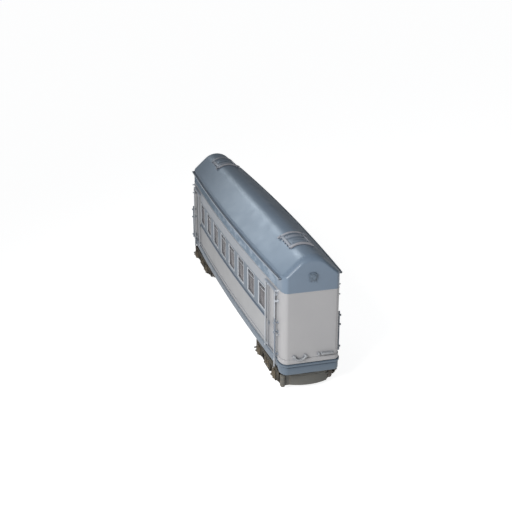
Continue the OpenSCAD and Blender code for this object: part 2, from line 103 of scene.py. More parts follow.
HATCH_L = 24.0
HATCH_W = 17.0
HATCH_SINK = 0.15
RIM_RISE = 1.15
PIVOT_X = 101.0
AXLE_X = 19.0
AXLE_Z = 8.4
TREAD_R = 7.5
WHEEL_IN = 14.5
WHEEL_OUT = 18.1
FRAME_OUT = cad("front_side_frames")[1][1]
FRAME_IN = FRAME_OUT - 2.3
FRAME_TOP = cad("front_side_frames")[1][2]
FRAME_LOW = cad("front_side_frames")[0][2]
FRAME_LONG = 27.0
FRAME_SHORT = 23.0
GUARD_R = 31.0
GUARD_Y = 13.6
GUARD_Z = cad("front_end_guard")[0][2]
GUARD_TOP = GUARD_Z + 9.0
BOLSTER_Z = 10.0
BOLSTER_TOP = 13.4
ENDS = {"front": 1, "rear": -1}
SIDES = {"left": 1, "right": -1}
CORNERS = [(side, end) for end in ENDS.values() for side in SIDES.values()]


def half_w(x):
    """Half width of the body at x, before the corners are rounded."""
    return MID_W - (MID_W - END_W) * (x / HALF) ** 2


def ridge_z(x):
    """Height of the roof's ridge at x."""
    return CROWN_Z - CROWN_DROP * (x / HALF) ** 2


def steps(first, last, count):
    """Evenly spaced values from first to last, both included."""
    return [first + (last - first) * i / count for i in range(count + 1)]


def mirrored(end=1, side=1):
    """Turns what is drawn for the front left into its twin at another end or side."""
    return Matrix.Diagonal((end, side, 1, 1))


def moved(x, y, z):
    """Shifts a shape."""
    return Matrix.Translation((x, y, z))


def on_face(x, z, side=1, end=1, out=0.0):
    """Places a shape on a side wall: X along the wall, Y outwards, Z up."""
    turn = math.atan(-2 * (MID_W - END_W) * x / HALF ** 2)
    return (mirrored(end, side) @ moved(x, half_w(x), z) @ Matrix.Rotation(turn, 4, "Z")
            @ moved(0, out, 0))


def at_pivot(end, side=1):
    """Places a shape drawn about a bogie's pivot."""
    return mirrored(end, side) @ moved(PIVOT_X, 0, 0)


FACING_X = Matrix.Rotation(math.radians(-90), 4, "Z")      # turns a shape's Y axis to +X
FACING_Z = Matrix.Rotation(math.radians(90), 4, "X")       # turns a shape's Y axis to +Z


# ---------- camera, light and floor ----------

def add_camera():
    """Looks down the coach from its front right corner."""
    azimuth, elevation = math.radians(74.15), math.radians(21.0)
    aim, distance = Vector((-0.0014, 0.0, 0.0478)), 0.788
    ahead = Vector((-math.sin(azimuth) * math.cos(elevation), math.cos(azimuth) * math.cos(elevation),
                    -math.sin(elevation)))
    data = bpy.data.cameras.new("camera")
    data.sensor_width = 36.0
    data.lens = 70.36
    data.clip_start = 0.01
    camera = bpy.data.objects.new("camera", data)
    camera.location = aim - distance * ahead
    camera.rotation_euler = ahead.to_track_quat("-Z", "Y").to_euler()
    bpy.context.scene.collection.objects.link(camera)
    bpy.context.scene.camera = camera


def add_light(name, place, target, size, power, spread, tint=(1.0, 1.0, 1.0)):
    """A round lamp, in metres and watts, with its beam's spread in degrees."""
    data = bpy.data.lights.new(name, "AREA")
    data.shape = "DISK"
    data.size = size
    data.energy = power
    data.color = tint
    data.spread = math.radians(spread)
    lamp = bpy.data.objects.new(name, data)
    lamp.location = place
    lamp.rotation_euler = (Vector(target) - Vector(place)).to_track_quat("-Z", "Y").to_euler()
    bpy.context.scene.collection.objects.link(lamp)


def add_studio():
    """A soft key from the front right corner, a weak lamp behind for the roof's sheen, and a dim sky."""
    scene = bpy.context.scene
    scene.view_settings.view_transform = "Standard"
    world = bpy.data.worlds.new("studio")
    world.use_nodes = True
    sky = world.node_tree.nodes["Background"]
    sky.inputs["Color"].default_value = (0.96, 0.98, 1.0, 1.0)
    sky.inputs["Strength"].default_value = 0.23
    scene.world = world
    add_light("key", place=(0.36, -0.38, 0.34), target=(0.13, 0.0, 0.06), size=0.32, power=0.53, spread=64.0)
    add_light("sheen", place=(-0.48, -0.15, 0.39), target=(0.15, -0.01, 0.09), size=0.26, power=0.042,
              spread=34.0, tint=(0.80, 0.91, 1.0))


def add_floor():
    """A wide pale floor with a faint glow of its own, which keeps the background white."""
    reach = 12.0
    data = bpy.data.meshes.new("studio_floor")
    corners = [(-reach, -reach, 0), (reach, -reach, 0), (reach, reach, 0), (-reach, reach, 0)]
    data.from_pydata(corners, [], [(0, 1, 2, 3)])
    ground = bpy.data.objects.new("studio_floor", data)
    bpy.context.scene.collection.objects.link(ground)
    plain = bpy.data.materials.new("studio_floor")
    plain.use_nodes = True
    shader = plain.node_tree.nodes["Principled BSDF"]
    shader.inputs["Base Color"].default_value = (0.5, 0.5, 0.5, 1.0)
    shader.inputs["Roughness"].default_value = 0.95
    shader.inputs["Specular IOR Level"].default_value = 0.1
    shader.inputs["Emission Color"].default_value = (1.0, 1.0, 1.0, 1.0)
    shader.inputs["Emission Strength"].default_value = 0.87
    data.materials.append(plain)


# ---------- materials ----------

MATERIALS = {}


def rgb(r, g, b):
    """A screen colour, 0 to 255, as the linear colour that a shader takes."""
    def linear(v):
        v /= 255.0
        return v / 12.92 if v <= 0.04045 else ((v + 0.055) / 1.055) ** 2.4
    return (linear(r), linear(g), linear(b), 1.0)


def shade(colour, k):
    """The colour made k times as bright."""
    return tuple(c * k for c in colour[:3]) + (1.0,)


class Paint:
    """The node material of one slot, with short names for the nodes it uses."""

    def __init__(self, name, rough=0.42, metallic=0.0, specular=0.4):
        MATERIALS[name] = bpy.data.materials.new(name)
        MATERIALS[name].use_nodes = True
        self.tree = MATERIALS[name].node_tree
        self.shader = self.tree.nodes["Principled BSDF"]
        self.shader.inputs["Metallic"].default_value = metallic
        self.shader.inputs["Specular IOR Level"].default_value = specular
        self.shader.inputs["Roughness"].default_value = rough
        self.rough = rough
        self.place = self.node("ShaderNodeTexCoord").outputs["Object"]

    def node(self, kind, **values):
        made = self.tree.nodes.new(kind)
        for key, value in values.items():
            setattr(made, key, value)
        return made

    def link(self, start, end):
        self.tree.links.new(start, end)

    def put(self, socket, value):
        """Sets a socket to a constant, or links another node's output to it."""
        if isinstance(value, (int, float, tuple)):
            socket.default_value = value
        else:
            self.link(value, socket)

    def noise(self, scale, detail=4.0, stretch=(1, 1, 1), roughness=0.55):
        spread = self.node("ShaderNodeMapping")
        spread.inputs["Scale"].default_value = stretch
        self.link(self.place, spread.inputs["Vector"])
        made = self.node("ShaderNodeTexNoise")
        made.inputs["Scale"].default_value = scale
        made.inputs["Detail"].default_value = detail
        made.inputs["Roughness"].default_value = roughness
        self.link(spread.outputs["Vector"], made.inputs["Vector"])
        return made.outputs["Fac"]

    def math(self, operation, a, b=0.0, clamp=False):
        made = self.node("ShaderNodeMath", operation=operation, use_clamp=clamp)
        self.put(made.inputs[0], a)
        self.put(made.inputs[1], b)
        return made.outputs["Value"]

    def ramp(self, value, low, high, to_low=0.0, to_high=1.0):
        """Goes from to_low at low to to_high at high, and stays level beyond them."""
        made = self.node("ShaderNodeMapRange", clamp=True)
        self.put(made.inputs["Value"], value)
        limits = {"From Min": low, "From Max": high, "To Min": to_low, "To Max": to_high}
        for key, number in limits.items():
            made.inputs[key].default_value = number
        return made.outputs["Result"]

    def mix(self, factor, a, b, blend="MIX"):
        made = self.node("ShaderNodeMix", data_type="RGBA", blend_type=blend)
        self.put(made.inputs["Factor"], factor)
        self.put(made.inputs["A"], a)
        self.put(made.inputs["B"], b)
        return made.outputs["Result"]

    def axis(self, letter):
        made = self.node("ShaderNodeSeparateXYZ")
        self.link(self.place, made.inputs["Vector"])
        return made.outputs[letter]

    def between(self, value, low, high, soft):
        """1 between two values in millimetres, 0 outside, with an edge of the given softness."""
        up = self.ramp(value, (low - soft) * MM, (low + soft) * MM)
        down = self.ramp(value, (high - soft) * MM, (high + soft) * MM, 1.0, 0.0)
        return self.math("MULTIPLY", up, down)

    def crevice(self, reach, inside=False):
        """1 in the open and 0 in a corner, or the same for an edge seen from inside."""
        made = self.node("ShaderNodeAmbientOcclusion", samples=8, inside=inside)
        made.inputs["Distance"].default_value = reach * MM
        return made.outputs["AO"]

    def cloudy(self, colour, dark, light, *noise):
        """Soft clouds of the colour, dark to light times as bright."""
        cloud = self.ramp(self.noise(*noise), 0.35, 0.65)
        return self.mix(cloud, shade(colour, dark), shade(colour, light))

    def toned(self, colour, pale, dark):
        """Mixes in a paler or a darker colour by the mesh's own tone."""
        tone = self.node("ShaderNodeAttribute", attribute_name="tone").outputs["Fac"]
        colour = self.mix(self.ramp(tone, 0.0, 1.0), colour, pale)
        return self.mix(self.ramp(tone, -1.0, 0.0, 1.0, 0.0), colour, dark)

    def finish(self, colour, shade_colour, shade_amount=0.75, wear_and_highlight=None, bump=0.02, bump_scale=900.0, reach=1.6):
        """Adds mottling, painted shade in the crevices broken up by streaks, paler edges for wear (a painted
        highlight on the gutter's lip) and a fine surface grain.
        """
        cloud = self.ramp(self.noise(28.0, 5.0), 0.3, 0.7, 0.0, 0.35)
        dull = self.mix(1.0, colour, (0.86, 0.88, 0.90, 1.0), "MULTIPLY")
        colour = self.mix(cloud, colour, dull)
        # painted shade: the colour darkens where ambient occlusion finds a crevice or gap, broken up by
        # streaks
        open_air = self.crevice(reach)
        streak = self.noise(160.0, 3.0)
        crevice_shade = self.math("MULTIPLY", self.ramp(open_air, 0.25, 0.85, shade_amount, 0.0),
                         self.ramp(streak, 0.25, 0.75, 0.7, 1.0))
        colour = self.mix(crevice_shade, colour, shade_colour)
        if wear_and_highlight is not None:
            edge = self.ramp(self.crevice(0.5, inside=True), 0.35, 0.75, 0.5, 0.0)
            colour = self.mix(edge, colour, wear_and_highlight)
        self.put(self.shader.inputs["Base Color"], colour)
        grain = self.noise(bump_scale, 3.0)
        rough = self.ramp(self.noise(90.0, 4.0), 0.2, 0.8, self.rough - 0.07, self.rough + 0.09)
        rough = self.math("ADD", rough, self.math("MULTIPLY", crevice_shade, 0.25))
        self.put(self.shader.inputs["Roughness"], rough)
        relief = self.node("ShaderNodeBump")
        relief.inputs["Strength"].default_value = 0.35
        relief.inputs["Distance"].default_value = bump * MM
        self.link(grain, relief.inputs["Height"])
        self.link(relief.outputs["Normal"], self.shader.inputs["Normal"])


ROOF_BLUE = rgb(99, 113, 128)
PANEL_BLUE = rgb(100, 109, 119)
CREAM = rgb(144, 144, 145)
# colours of the painted shade in crevices; SHADE_BLUE also paints shade on the roof's left slope
SHADE_BLUE = rgb(52, 62, 76)
DARK_CREAM = rgb(92, 102, 118)
SHADE_BROWN = rgb(28, 26, 24)
DUST = rgb(104, 98, 88)


def roof_paint():
    """Satin blue-grey, with a matt band under the gutter that carries patches of painted reflection and
    painted shade that makes it darker and bluer towards the rear.
    """
    p = Paint("roof_paint", rough=0.35, specular=0.45)
    colour = p.cloudy(ROOF_BLUE, 0.97, 1.06, 9.0, 3.0, (1.0, 3.0, 3.0))
    along = p.between(p.axis("X"), 4 - HALF, HALF - 14, 2.0)
    band = p.math("MULTIPLY", p.between(p.axis("Z"), EAVES_Z, GUTTER_BASE, 0.3), along)
    # painted reflection: lighter patches on the band under the gutter
    patch = p.ramp(p.noise(260.0, 3.0, (0.5, 1.0, 1.0), 0.65), 0.47, 0.6)
    band_reflection_and_shade = p.mix(patch, rgb(96, 112, 127), rgb(128, 140, 153))
    # painted shade: the band darkens towards the rear
    band_reflection_and_shade = p.mix(p.ramp(p.axis("X"), 20 * MM, -70 * MM, 0.0, 0.6), band_reflection_and_shade, rgb(46, 68, 82))
    colour = p.mix(band, colour, band_reflection_and_shade)
    # painted shade: the left slope is painted darker and made duller, all but its ends
    left_slope_shade = p.math("MULTIPLY", p.ramp(p.axis("Y"), 2 * MM, 9 * MM, 0.0, 0.3),
                 p.between(p.axis("X"), 4.5 - HALF, HALF - 4.5, 1.5))
    colour = p.mix(left_slope_shade, colour, SHADE_BLUE)
    p.finish(colour, SHADE_BLUE, 0.6, p.mix(band, shade(ROOF_BLUE, 1.5), band_reflection_and_shade))
    polish = p.shader.inputs["Roughness"].links[0].from_socket
    matt = p.math("ADD", left_slope_shade, p.math("MULTIPLY", band, 0.4))
    p.put(p.shader.inputs["Roughness"], p.math("ADD", polish, matt, True))


def blue_paint(name, colour, shade_amount=0.6, light=rgb(150, 156, 164), worn_and_highlight=None):
    """Satin paint, paler or darker where the mesh's tone says so."""
    p = Paint(name, rough=0.42)
    mixed = p.toned(p.cloudy(colour, 0.96, 1.06, 22.0, 3.0), light, shade(colour, 0.45))
    p.finish(mixed, SHADE_BLUE, shade_amount, worn_and_highlight or shade(colour, 1.3))


def cream_paint(name, base):
    """Satin paint with faint upright streaks."""
    p = Paint(name, rough=0.45, specular=0.3)
    colour = p.cloudy(base, 0.97, 1.03, 14.0, 4.0, (1.0, 1.0, 0.5))
    p.finish(colour, DARK_CREAM, 0.7, shade(base, 1.15))


def side_paint():
    """Cream, with a blue band from the belt rail up to the letterboard."""
    p = Paint("side_paint", rough=0.5, specular=0.25)
    cream = p.cloudy(CREAM, 0.97, 1.03, 14.0, 4.0, (1.0, 1.0, 0.5))
    blue = p.cloudy(PANEL_BLUE, 0.97, 1.06, 22.0, 3.0)
    height = p.between(p.axis("Z"), BELT_Z + 0.6, BAND_TOP, 0.12)
    along = p.between(p.axis("X"), -BELT_END, BELT_END, 0.12)
    colour = p.mix(p.math("MULTIPLY", height, along), cream, blue)
    board = p.ramp(p.axis("Z"), (BAND_TOP - 0.2) * MM, (BAND_TOP + 0.2) * MM, 0.0, 0.7)
    colour = p.mix(p.math("MULTIPLY", board, along), colour, rgb(136, 141, 148))
    # the cream is darker towards the bottom, just above the sill
    low = p.ramp(p.axis("Z"), (SILL_TOP - 1) * MM, (SILL_TOP + 8) * MM, 0.2, 0.0)
    colour = p.mix(low, colour, DARK_CREAM)
    p.finish(colour, DARK_CREAM, 0.7, shade(CREAM, 1.15))


def dusty(name, base, dust=DUST, amount=0.5, rust=None):
    """Matt moulded plastic, dusty on top, with brown painted shade in the corners."""
    p = Paint(name, rough=0.68, specular=0.2)
    patch = p.ramp(p.noise(240.0, 5.0, roughness=0.65), 0.35, 0.65)
    colour = p.mix(p.math("MULTIPLY", patch, amount), base, dust)
    if rust is not None:
        colour = p.mix(p.ramp(p.noise(420.0, 4.0, roughness=0.7), 0.55, 0.66, 0.0, 0.6), colour, rust)
    p.finish(colour, SHADE_BROWN, 0.97, shade(dust, 1.2), bump=0.06, bump_scale=1400.0, reach=4.5)


def metal(name, base):
    """Bare metal with a fine mottle."""
    p = Paint(name, rough=0.35, metallic=1.0)
    colour = p.mix(p.ramp(p.noise(700.0, 3.0), 0.3, 0.7), shade(base, 0.85), shade(base, 1.1))
    p.finish(colour, SHADE_BROWN, 0.5, bump=0.01)


def wheel_paint():
    """Blackened metal, polished on the tread and flange."""
    p = Paint("wheel_metal", rough=0.5, metallic=0.7)
    colour = p.mix(p.ramp(p.noise(500.0, 4.0), 0.3, 0.7), rgb(52, 49, 46), rgb(86, 80, 73))
    p.finish(colour, SHADE_BROWN, 0.7, rgb(150, 146, 140), bump=0.03, bump_scale=1200.0, reach=1.8)


def glazing():
    """Slightly smoky styrene, with painted shade darkening the top lights."""
    p = Paint("glazing", rough=0.2, specular=0.08)
    colour = p.mix(p.ramp(p.noise(60.0, 4.0), 0.3, 0.7), rgb(84, 81, 83), rgb(100, 96, 98))
    speck = p.ramp(p.noise(1500.0, 2.0, roughness=0.6), 0.42, 0.58, 0.0, 0.5)
    colour = p.mix(speck, colour, rgb(46, 45, 49))
    # painted shade: the glass above the transom is painted darker
    split = WINDOW_Z + TRANSOM_Z
    top_light_shade = p.ramp(p.axis("Z"), (split - 0.3) * MM, (split + 0.3) * MM, 0.0, 0.85)
    colour = p.mix(top_light_shade, colour, rgb(26, 30, 40))
    dust = p.ramp(p.noise(700.0, 3.0), 0.55, 0.75, 0.0, 0.25)
    p.put(p.shader.inputs["Base Color"], p.mix(dust, colour, rgb(140, 138, 134)))
    p.put(p.shader.inputs["Roughness"], p.ramp(p.noise(200.0, 3.0), 0.3, 0.7, 0.14, 0.30))
    p.shader.inputs["Alpha"].default_value = 0.94


roof_paint()
blue_paint("hatch_paint", rgb(99, 110, 123), 0.95, rgb(147, 147, 152))
# the gutter's pale lip edges are a painted highlight, and heavy crevice darkening paints shade into its
# groove
blue_paint("gutter_paint", rgb(118, 126, 136), 0.9, worn_and_highlight=rgb(152, 158, 166))
blue_paint("stripe_paint", rgb(83, 95, 107))
blue_paint("line_paint", rgb(74, 85, 99))
blue_paint("rail_wire", rgb(100, 108, 119), 0.5, rgb(163, 166, 170), rgb(158, 163, 169))
side_paint()
cream_paint("end_paint", rgb(151, 150, 151))
cream_paint("frame_paint", rgb(171, 174, 178))
cream_paint("door_paint", CREAM)
cream_paint("handle_wire", rgb(140, 142, 145))
glazing()
dusty("floor_plastic", rgb(62, 62, 62))
dusty("seat_plastic", rgb(92, 70, 61), rgb(110, 84, 73))
dusty("bogie_plastic", rgb(52, 49, 44), rgb(86, 81, 72), 0.4)
dusty("axlebox_plastic", rgb(84, 78, 68), rgb(112, 103, 88), 0.55, rgb(104, 80, 54))
dusty("guard_plastic", rgb(90, 90, 87), amount=0.3)
metal("ballast_steel", rgb(150, 150, 150))
metal("screw_steel", rgb(165, 165, 165))
metal("axle_steel", rgb(140, 138, 134))
wheel_paint()


# ---------- shapes ----------

def turns(count):
    """Evenly spaced angles of one full turn."""
    return [2 * math.pi * i / count for i in range(count)]


def arc(x, z, r, first, last, count):
    """Points of an arc round (x, z), angles in degrees."""
    angles = [math.radians(a) for a in steps(first, last, count)]
    return [(x + r * math.cos(a), z + r * math.sin(a)) for a in angles]


def rounded(x0, x1, z0, z1, r, count=4):
    """A rectangle with round corners, counter-clockwise."""
    return (arc(x1 - r, z0 + r, r, -90, 0, count) + arc(x1 - r, z1 - r, r, 0, 90, count)
            + arc(x0 + r, z1 - r, r, 90, 180, count) + arc(x0 + r, z0 + r, r, 180, 270, count))


def shifted(profile, by):
    """A profile moved along its second axis."""
    return [(a, b + by) for a, b in profile]


def side_places(reach):
    """Places along the left side, to reach each way, each a point with its outward direction."""
    return [(x, half_w(x), 0, 1) for x in steps(-reach, reach, round(reach / 3))]


def end_places():
    """Places round the front end, from the left side to the right side."""
    left = [(SIDE_END, half_w(SIDE_END), 0, 1)]
    for a in steps(0, math.pi / 2, 16):
        left.append((CORNER_X + CORNER_RX * math.sin(a), half_w(CORNER_X) - CORNER_RY * (1 - math.cos(a)),
                     math.sin(a), math.cos(a)))
    flat = [(HALF, left[-1][1] * (1 - 2 * i / 8), 1, 0) for i in range(1, 8)]
    return left + flat + [(x, -y, nx, -ny) for x, y, nx, ny in reversed(left)]


class Shape:
    """A mesh under construction, in millimetres. Each solid is put where `at` says; `tone` makes its paint
    paler (up to 1) or darker (down to -1)."""

    def __init__(self, at=None, tone=0.0):
        self.mesh = bmesh.new()
        self.tones = self.mesh.verts.layers.float.new("tone")
        self.at = at or Matrix.Identity(4)
        self.tone = tone

    @contextmanager
    def placed(self, place):
        """Puts what is drawn inside the block at a place seen from the shape's own."""
        here = self.at
        self.at = here @ place
        yield
        self.at = here

    def join(self, solid, bevel=0.0, segments=2):
        """Adds one closed solid, with its sharp edges rounded if asked."""
        bmesh.ops.remove_doubles(solid, verts=solid.verts, dist=1e-4)
        bmesh.ops.recalc_face_normals(solid, faces=solid.faces)
        if bevel:
            solid.normal_update()
            sharp = [edge for edge in solid.edges
                     if len(edge.link_faces) == 2 and edge.calc_face_angle(0.0) > math.radians(30)]
            bmesh.ops.bevel(solid, geom=sharp, offset=bevel, offset_type="OFFSET", segments=segments,
                            profile=0.5, affect="EDGES", clamp_overlap=True)
        solid.transform(self.at)
        solid.verts.index_update()
        copies = [self.mesh.verts.new(v.co) for v in solid.verts]
        for v in copies:
            v[self.tones] = self.tone
        for face in solid.faces:
            self.mesh.faces.new([copies[v.index] for v in face.verts])
        solid.free()

    def skin(self, rings, closed=False, bevel=0.0, segments=2):
        """Joins rings of points into a solid; closed also joins the last ring to the first."""
        solid = bmesh.new()
        grid = [[solid.verts.new(p) for p in ring] for ring in rings]
        count = len(rings[0])
        for i in range(len(grid) if closed else len(grid) - 1):
            a, b = grid[i], grid[(i + 1) % len(grid)]
            for j in range(count):
                k = (j + 1) % count
                solid.faces.new((a[j], a[k], b[k], b[j]))
        if not closed:
            solid.faces.new(grid[0])
            solid.faces.new(grid[-1])
        self.join(solid, bevel, segments)

    def sweep(self, places, profile, bevel=0.0):
        """Runs a closed profile of (out, z) along places."""
        rings = [[(x + d * nx, y + d * ny, z) for d, z in profile] for x, y, nx, ny in places]
        self.skin(rings, bevel=bevel)

    def block(self, low, high, bevel=0.15, segments=2):
        """A box between two corners, with its edges rounded."""
        base = [(low[0], low[1]), (high[0], low[1]), (high[0], high[1]), (low[0], high[1])]
        self.skin([[(x, y, z) for x, y in base] for z in (low[2], high[2])], bevel=bevel, segments=segments)

    def plate(self, outline, y0, y1, bevel=0.15, segments=2):
        """An outline in the XZ plane, given thickness along Y."""
        self.skin([[(x, y, z) for x, z in outline] for y in (y0, y1)], bevel=bevel, segments=segments)

    def loop(self, outline, profile):
        """Runs a profile of (inset, y) round a counter-clockwise outline in the XZ plane."""
        points = [Vector(p) for p in outline]
        rings = []
        for i, point in enumerate(points):
            before = (point - points[i - 1]).normalized()
            after = (points[(i + 1) % len(points)] - point).normalized()
            inward = Vector((-before.y, before.x)) + Vector((-after.y, after.x))
            inward /= 1 + before.dot(after)
            rings.append([(point.x + d * inward.x, y, point.y + d * inward.y) for d, y in profile])
        self.skin(rings, closed=True)

    def lathe(self, profile, sides=48, hollow=False):
        """Turns a profile of (radius, distance along Y) about the Y axis."""
        rings = [[(max(r, 0.01) * math.cos(a), y, max(r, 0.01) * math.sin(a)) for a in turns(sides)]
                 for r, y in profile]
        self.skin(rings, closed=hollow)

    def stud(self, x, z, r, y0, y1, sides=16, dome=0.3):
        """A round stud with a softened end, standing out along Y."""
        edge = min(dome, r * 0.6, (y1 - y0) * 0.6)
        with self.placed(moved(x, 0, z)):
            self.lathe([(r, y0), (r, y1 - edge), (r - 0.3 * edge, y1 - 0.3 * edge), (r - edge, y1)], sides)

    def pin(self, z, out, foot=0.95, foot_out=0.35):
        """A pin that holds a rail off the wall, on a round foot."""
        self.stud(0, z, 0.5, -0.1, out, 12)
        self.stud(0, z, foot, -0.1, foot_out, 16, 0.15)

    def tube(self, path, r, sides=12, edge=0.0):
        """A round bar along a path, its ends chamfered by edge."""
        path = [Vector(p) for p in path]
        radii = [r] * len(path)
        if edge:
            start = (path[1] - path[0]).normalized() * edge
            stop = (path[-2] - path[-1]).normalized() * edge
            path = ([path[0], path[0] + 0.3 * start, path[0] + start] + path[1:-1]
                    + [path[-1] + stop, path[-1] + 0.3 * stop, path[-1]])
            radii = [r - edge, r - 0.3 * edge] + [r] * (len(path) - 4) + [r - 0.3 * edge, r - edge]
        rings = []
        across = None
        for i, point in enumerate(path):
            ahead = (path[min(i + 1, len(path) - 1)] - path[max(i - 1, 0)]).normalized()
            across = ahead.orthogonal() if across is None else across - ahead * across.dot(ahead)
            across.normalize()
            up = ahead.cross(across)
            rings.append([point + radii[i] * (math.cos(a) * across + math.sin(a) * up)
                          for a in turns(sides)])
        self.skin(rings)

    def bar(self, x, y, z0, z1, r, sides=14, edge=0.15):
        """An upright round bar."""
        self.tube([(x, y, z0), (x, y, z1)], r, sides, edge)

    def object(self, name):
        """The shape as an object, in metres, smooth but for its sharp edges."""
        self.mesh.transform(Matrix.Scale(MM, 4))
        bmesh.ops.recalc_face_normals(self.mesh, faces=self.mesh.faces)
        data = bpy.data.meshes.new(name)
        self.mesh.to_mesh(data)
        self.mesh.free()
        data.shade_smooth()
        data.set_sharp_from_angle(angle=math.radians(32))
        thing = bpy.data.objects.new(name, data)
        bpy.context.scene.collection.objects.link(thing)
        return thing


SLOT_OF = {row["node"]: row["material_slot"] for row in frame["record"]["subparts"]}
BODY_OF = {node: body for body, nodes in frame["record"]["behaviour"]["bodies"].items() for node in nodes}


def add(shape, name, node, stands_for=True):
    """Makes a piece of the shape, with a CAD node's body and paint, and in the node's place if asked."""
    piece = shape.object(name)
    piece.data.materials.append(MATERIALS[SLOT_OF[node]])
    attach(piece, BODY_OF[node])
    if stands_for:
        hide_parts(node)


# ---------- roof ----------

def roof_w(x, d):
    """Half width at x of the roof's outline, d outside its face."""
    past = (abs(x) - CORNER_X) / (CORNER_RX + d)
    if past <= 0:
        return half_w(x) + d
    return half_w(CORNER_X) + d - (CORNER_RY + d) * (1 - math.sqrt(max(0.0, 1 - past * past)))


def roof_section(x, d):
    """The roof's outline across at x, from the left eave over the crown, d outside its face."""
    past = (abs(x) - (HALF + d - END_ROUND)) / END_ROUND
    drop = END_DROP * (1 - math.sqrt(max(0.0, 1 - past * past))) if past > 0 else 0.0
    w, top, r = roof_w(x, d), ridge_z(x) + d - drop, CROWN_R + d
    foot = GUTTER_BASE + 1.2
    wide, high = SHOULDER_W, SHOULDER_Z + d - foot
    # the crown's arc ends at meet, and a straight slope runs from there to the shoulder's ellipse
    meet = (r * math.sin(CROWN_BEND), top - r * (1 - math.cos(CROWN_BEND)))
    u, v = (meet[0] - w + wide) / wide, (meet[1] - foot) / high
    turn = math.atan2(v, u) - math.acos(1 / math.hypot(u, v))
    half = [(w, EAVES_Z + t * (foot - EAVES_Z)) for t in steps(0, 1, 6)]
    half += [(w - wide * (1 - math.cos(a)), foot + high * math.sin(a)) for a in steps(0, turn, 10)[1:]]
    start = half[-1]
    for t in steps(0, 1, 10)[1:-1]:
        half.append((start[0] + t * (meet[0] - start[0]), start[1] + t * (meet[1] - start[1])))
    half += [(r * math.sin(a), top - r * (1 - math.cos(a))) for a in steps(CROWN_BEND, 0, 14)]
    return half + [(-y, z) for y, z in reversed(half[:-1])]


def roof_stations(d):
    """Places along X for the roof's sections, close together at its rounded ends."""
    rim = [CORNER_X + (CORNER_RX + d) * math.sin(a) for a in steps(math.pi / 2, 0, 22)]
    half = rim + steps(CORNER_X, 0, 28)[1:]
    return [-x for x in half] + half[-2::-1]


def build_roof():
    """One shell: an outer and an inner skin, closed at the ends and joined along the eaves."""
    solid = bmesh.new()
    skins = []
    for d in (0, -WALL):
        skins.append([[solid.verts.new((x, y, z)) for y, z in roof_section(x, d)] for x in roof_stations(d)])
    outer, inner = skins
    count = len(outer[0])
    for skin in skins:
        for a, b in zip(skin, skin[1:]):
            for j in range(count - 1):
                solid.faces.new((a[j], a[j + 1], b[j + 1], b[j]))
        for ring in (skin[0], skin[-1]):
            for j in range(count // 2):
                k = count - 1 - j
                if k - j > 2:
                    solid.faces.new((ring[j], ring[j + 1], ring[k - 1], ring[k]))
                elif k - j == 2:
                    solid.faces.new((ring[j], ring[j + 1], ring[k]))
    for j in (0, count - 1):
        for i in range(len(outer) - 1):
            solid.faces.new((outer[i][j], outer[i + 1][j], inner[i + 1][j], inner[i][j]))
    for i in (0, -1):
        solid.faces.new((outer[i][0], inner[i][0], inner[i][-1], outer[i][-1]))
    roof = Shape()
    roof.join(solid)
    add(roof, "roof_shell", "roof")


def build_gutters():
    """A channel along each eave, with a stop at both ends."""
    lip = [(-0.1, 0), (1.55, 0), (1.85, 0.12), (2.0, 0.4), (2.0, 0.95), (1.92, 1.15), (1.72, 1.22)]
    trough = [(1.52, 1.15), (1.44, 0.95), (1.42, 0.55), (1.25, 0.4), (-0.1, 0.42)]
    for name, side in SIDES.items():
        shape = Shape(mirrored(side=side))
        places = [(x, roof_w(x, 0), 0, 1) for x in steps(-GUTTER_END, GUTTER_END, 64)]
        shape.sweep(places, shifted(lip + trough, GUTTER_BASE))
        for end in (-1, 1):
            last = [(end * x, roof_w(x, 0), 0, 1) for x in (GUTTER_END - 0.8, GUTTER_END)]
            shape.sweep(last, shifted(lip + [(-0.1, 1.3)], GUTTER_BASE), bevel=0.08)
        add(shape, name + "_gutter_channel", name + "_gutter")


def on_crown(x, end):
    """Places a shape at the centre of the crown's radius under x: Z up, X along."""
    slope = math.atan(2 * CROWN_DROP * x / HALF ** 2)
    return mirrored(end) @ moved(x, 0, ridge_z(x)) @ Matrix.Rotation(slope, 4, "Y") @ moved(0, 0, -CROWN_R)


def crown_arch(shape, x0, x1, rise, reach, bevel, lean=0.0):
    """A plate bent over the crown and rise above it, out to reach on each side."""
    low, high = CROWN_R - HATCH_SINK, CROWN_R + rise
    spread = math.asin(reach / high)
    rings = []
    for a in steps(-spread, spread, 24):
        shift = lean * math.cos(a / spread * math.pi / 2)
        rings.append([(x + shift, r * math.sin(a), r * math.cos(a))
                      for x, r in ((x0, low), (x1, low), (x1, high), (x0, high))])
    shape.skin(rings, bevel=bevel)


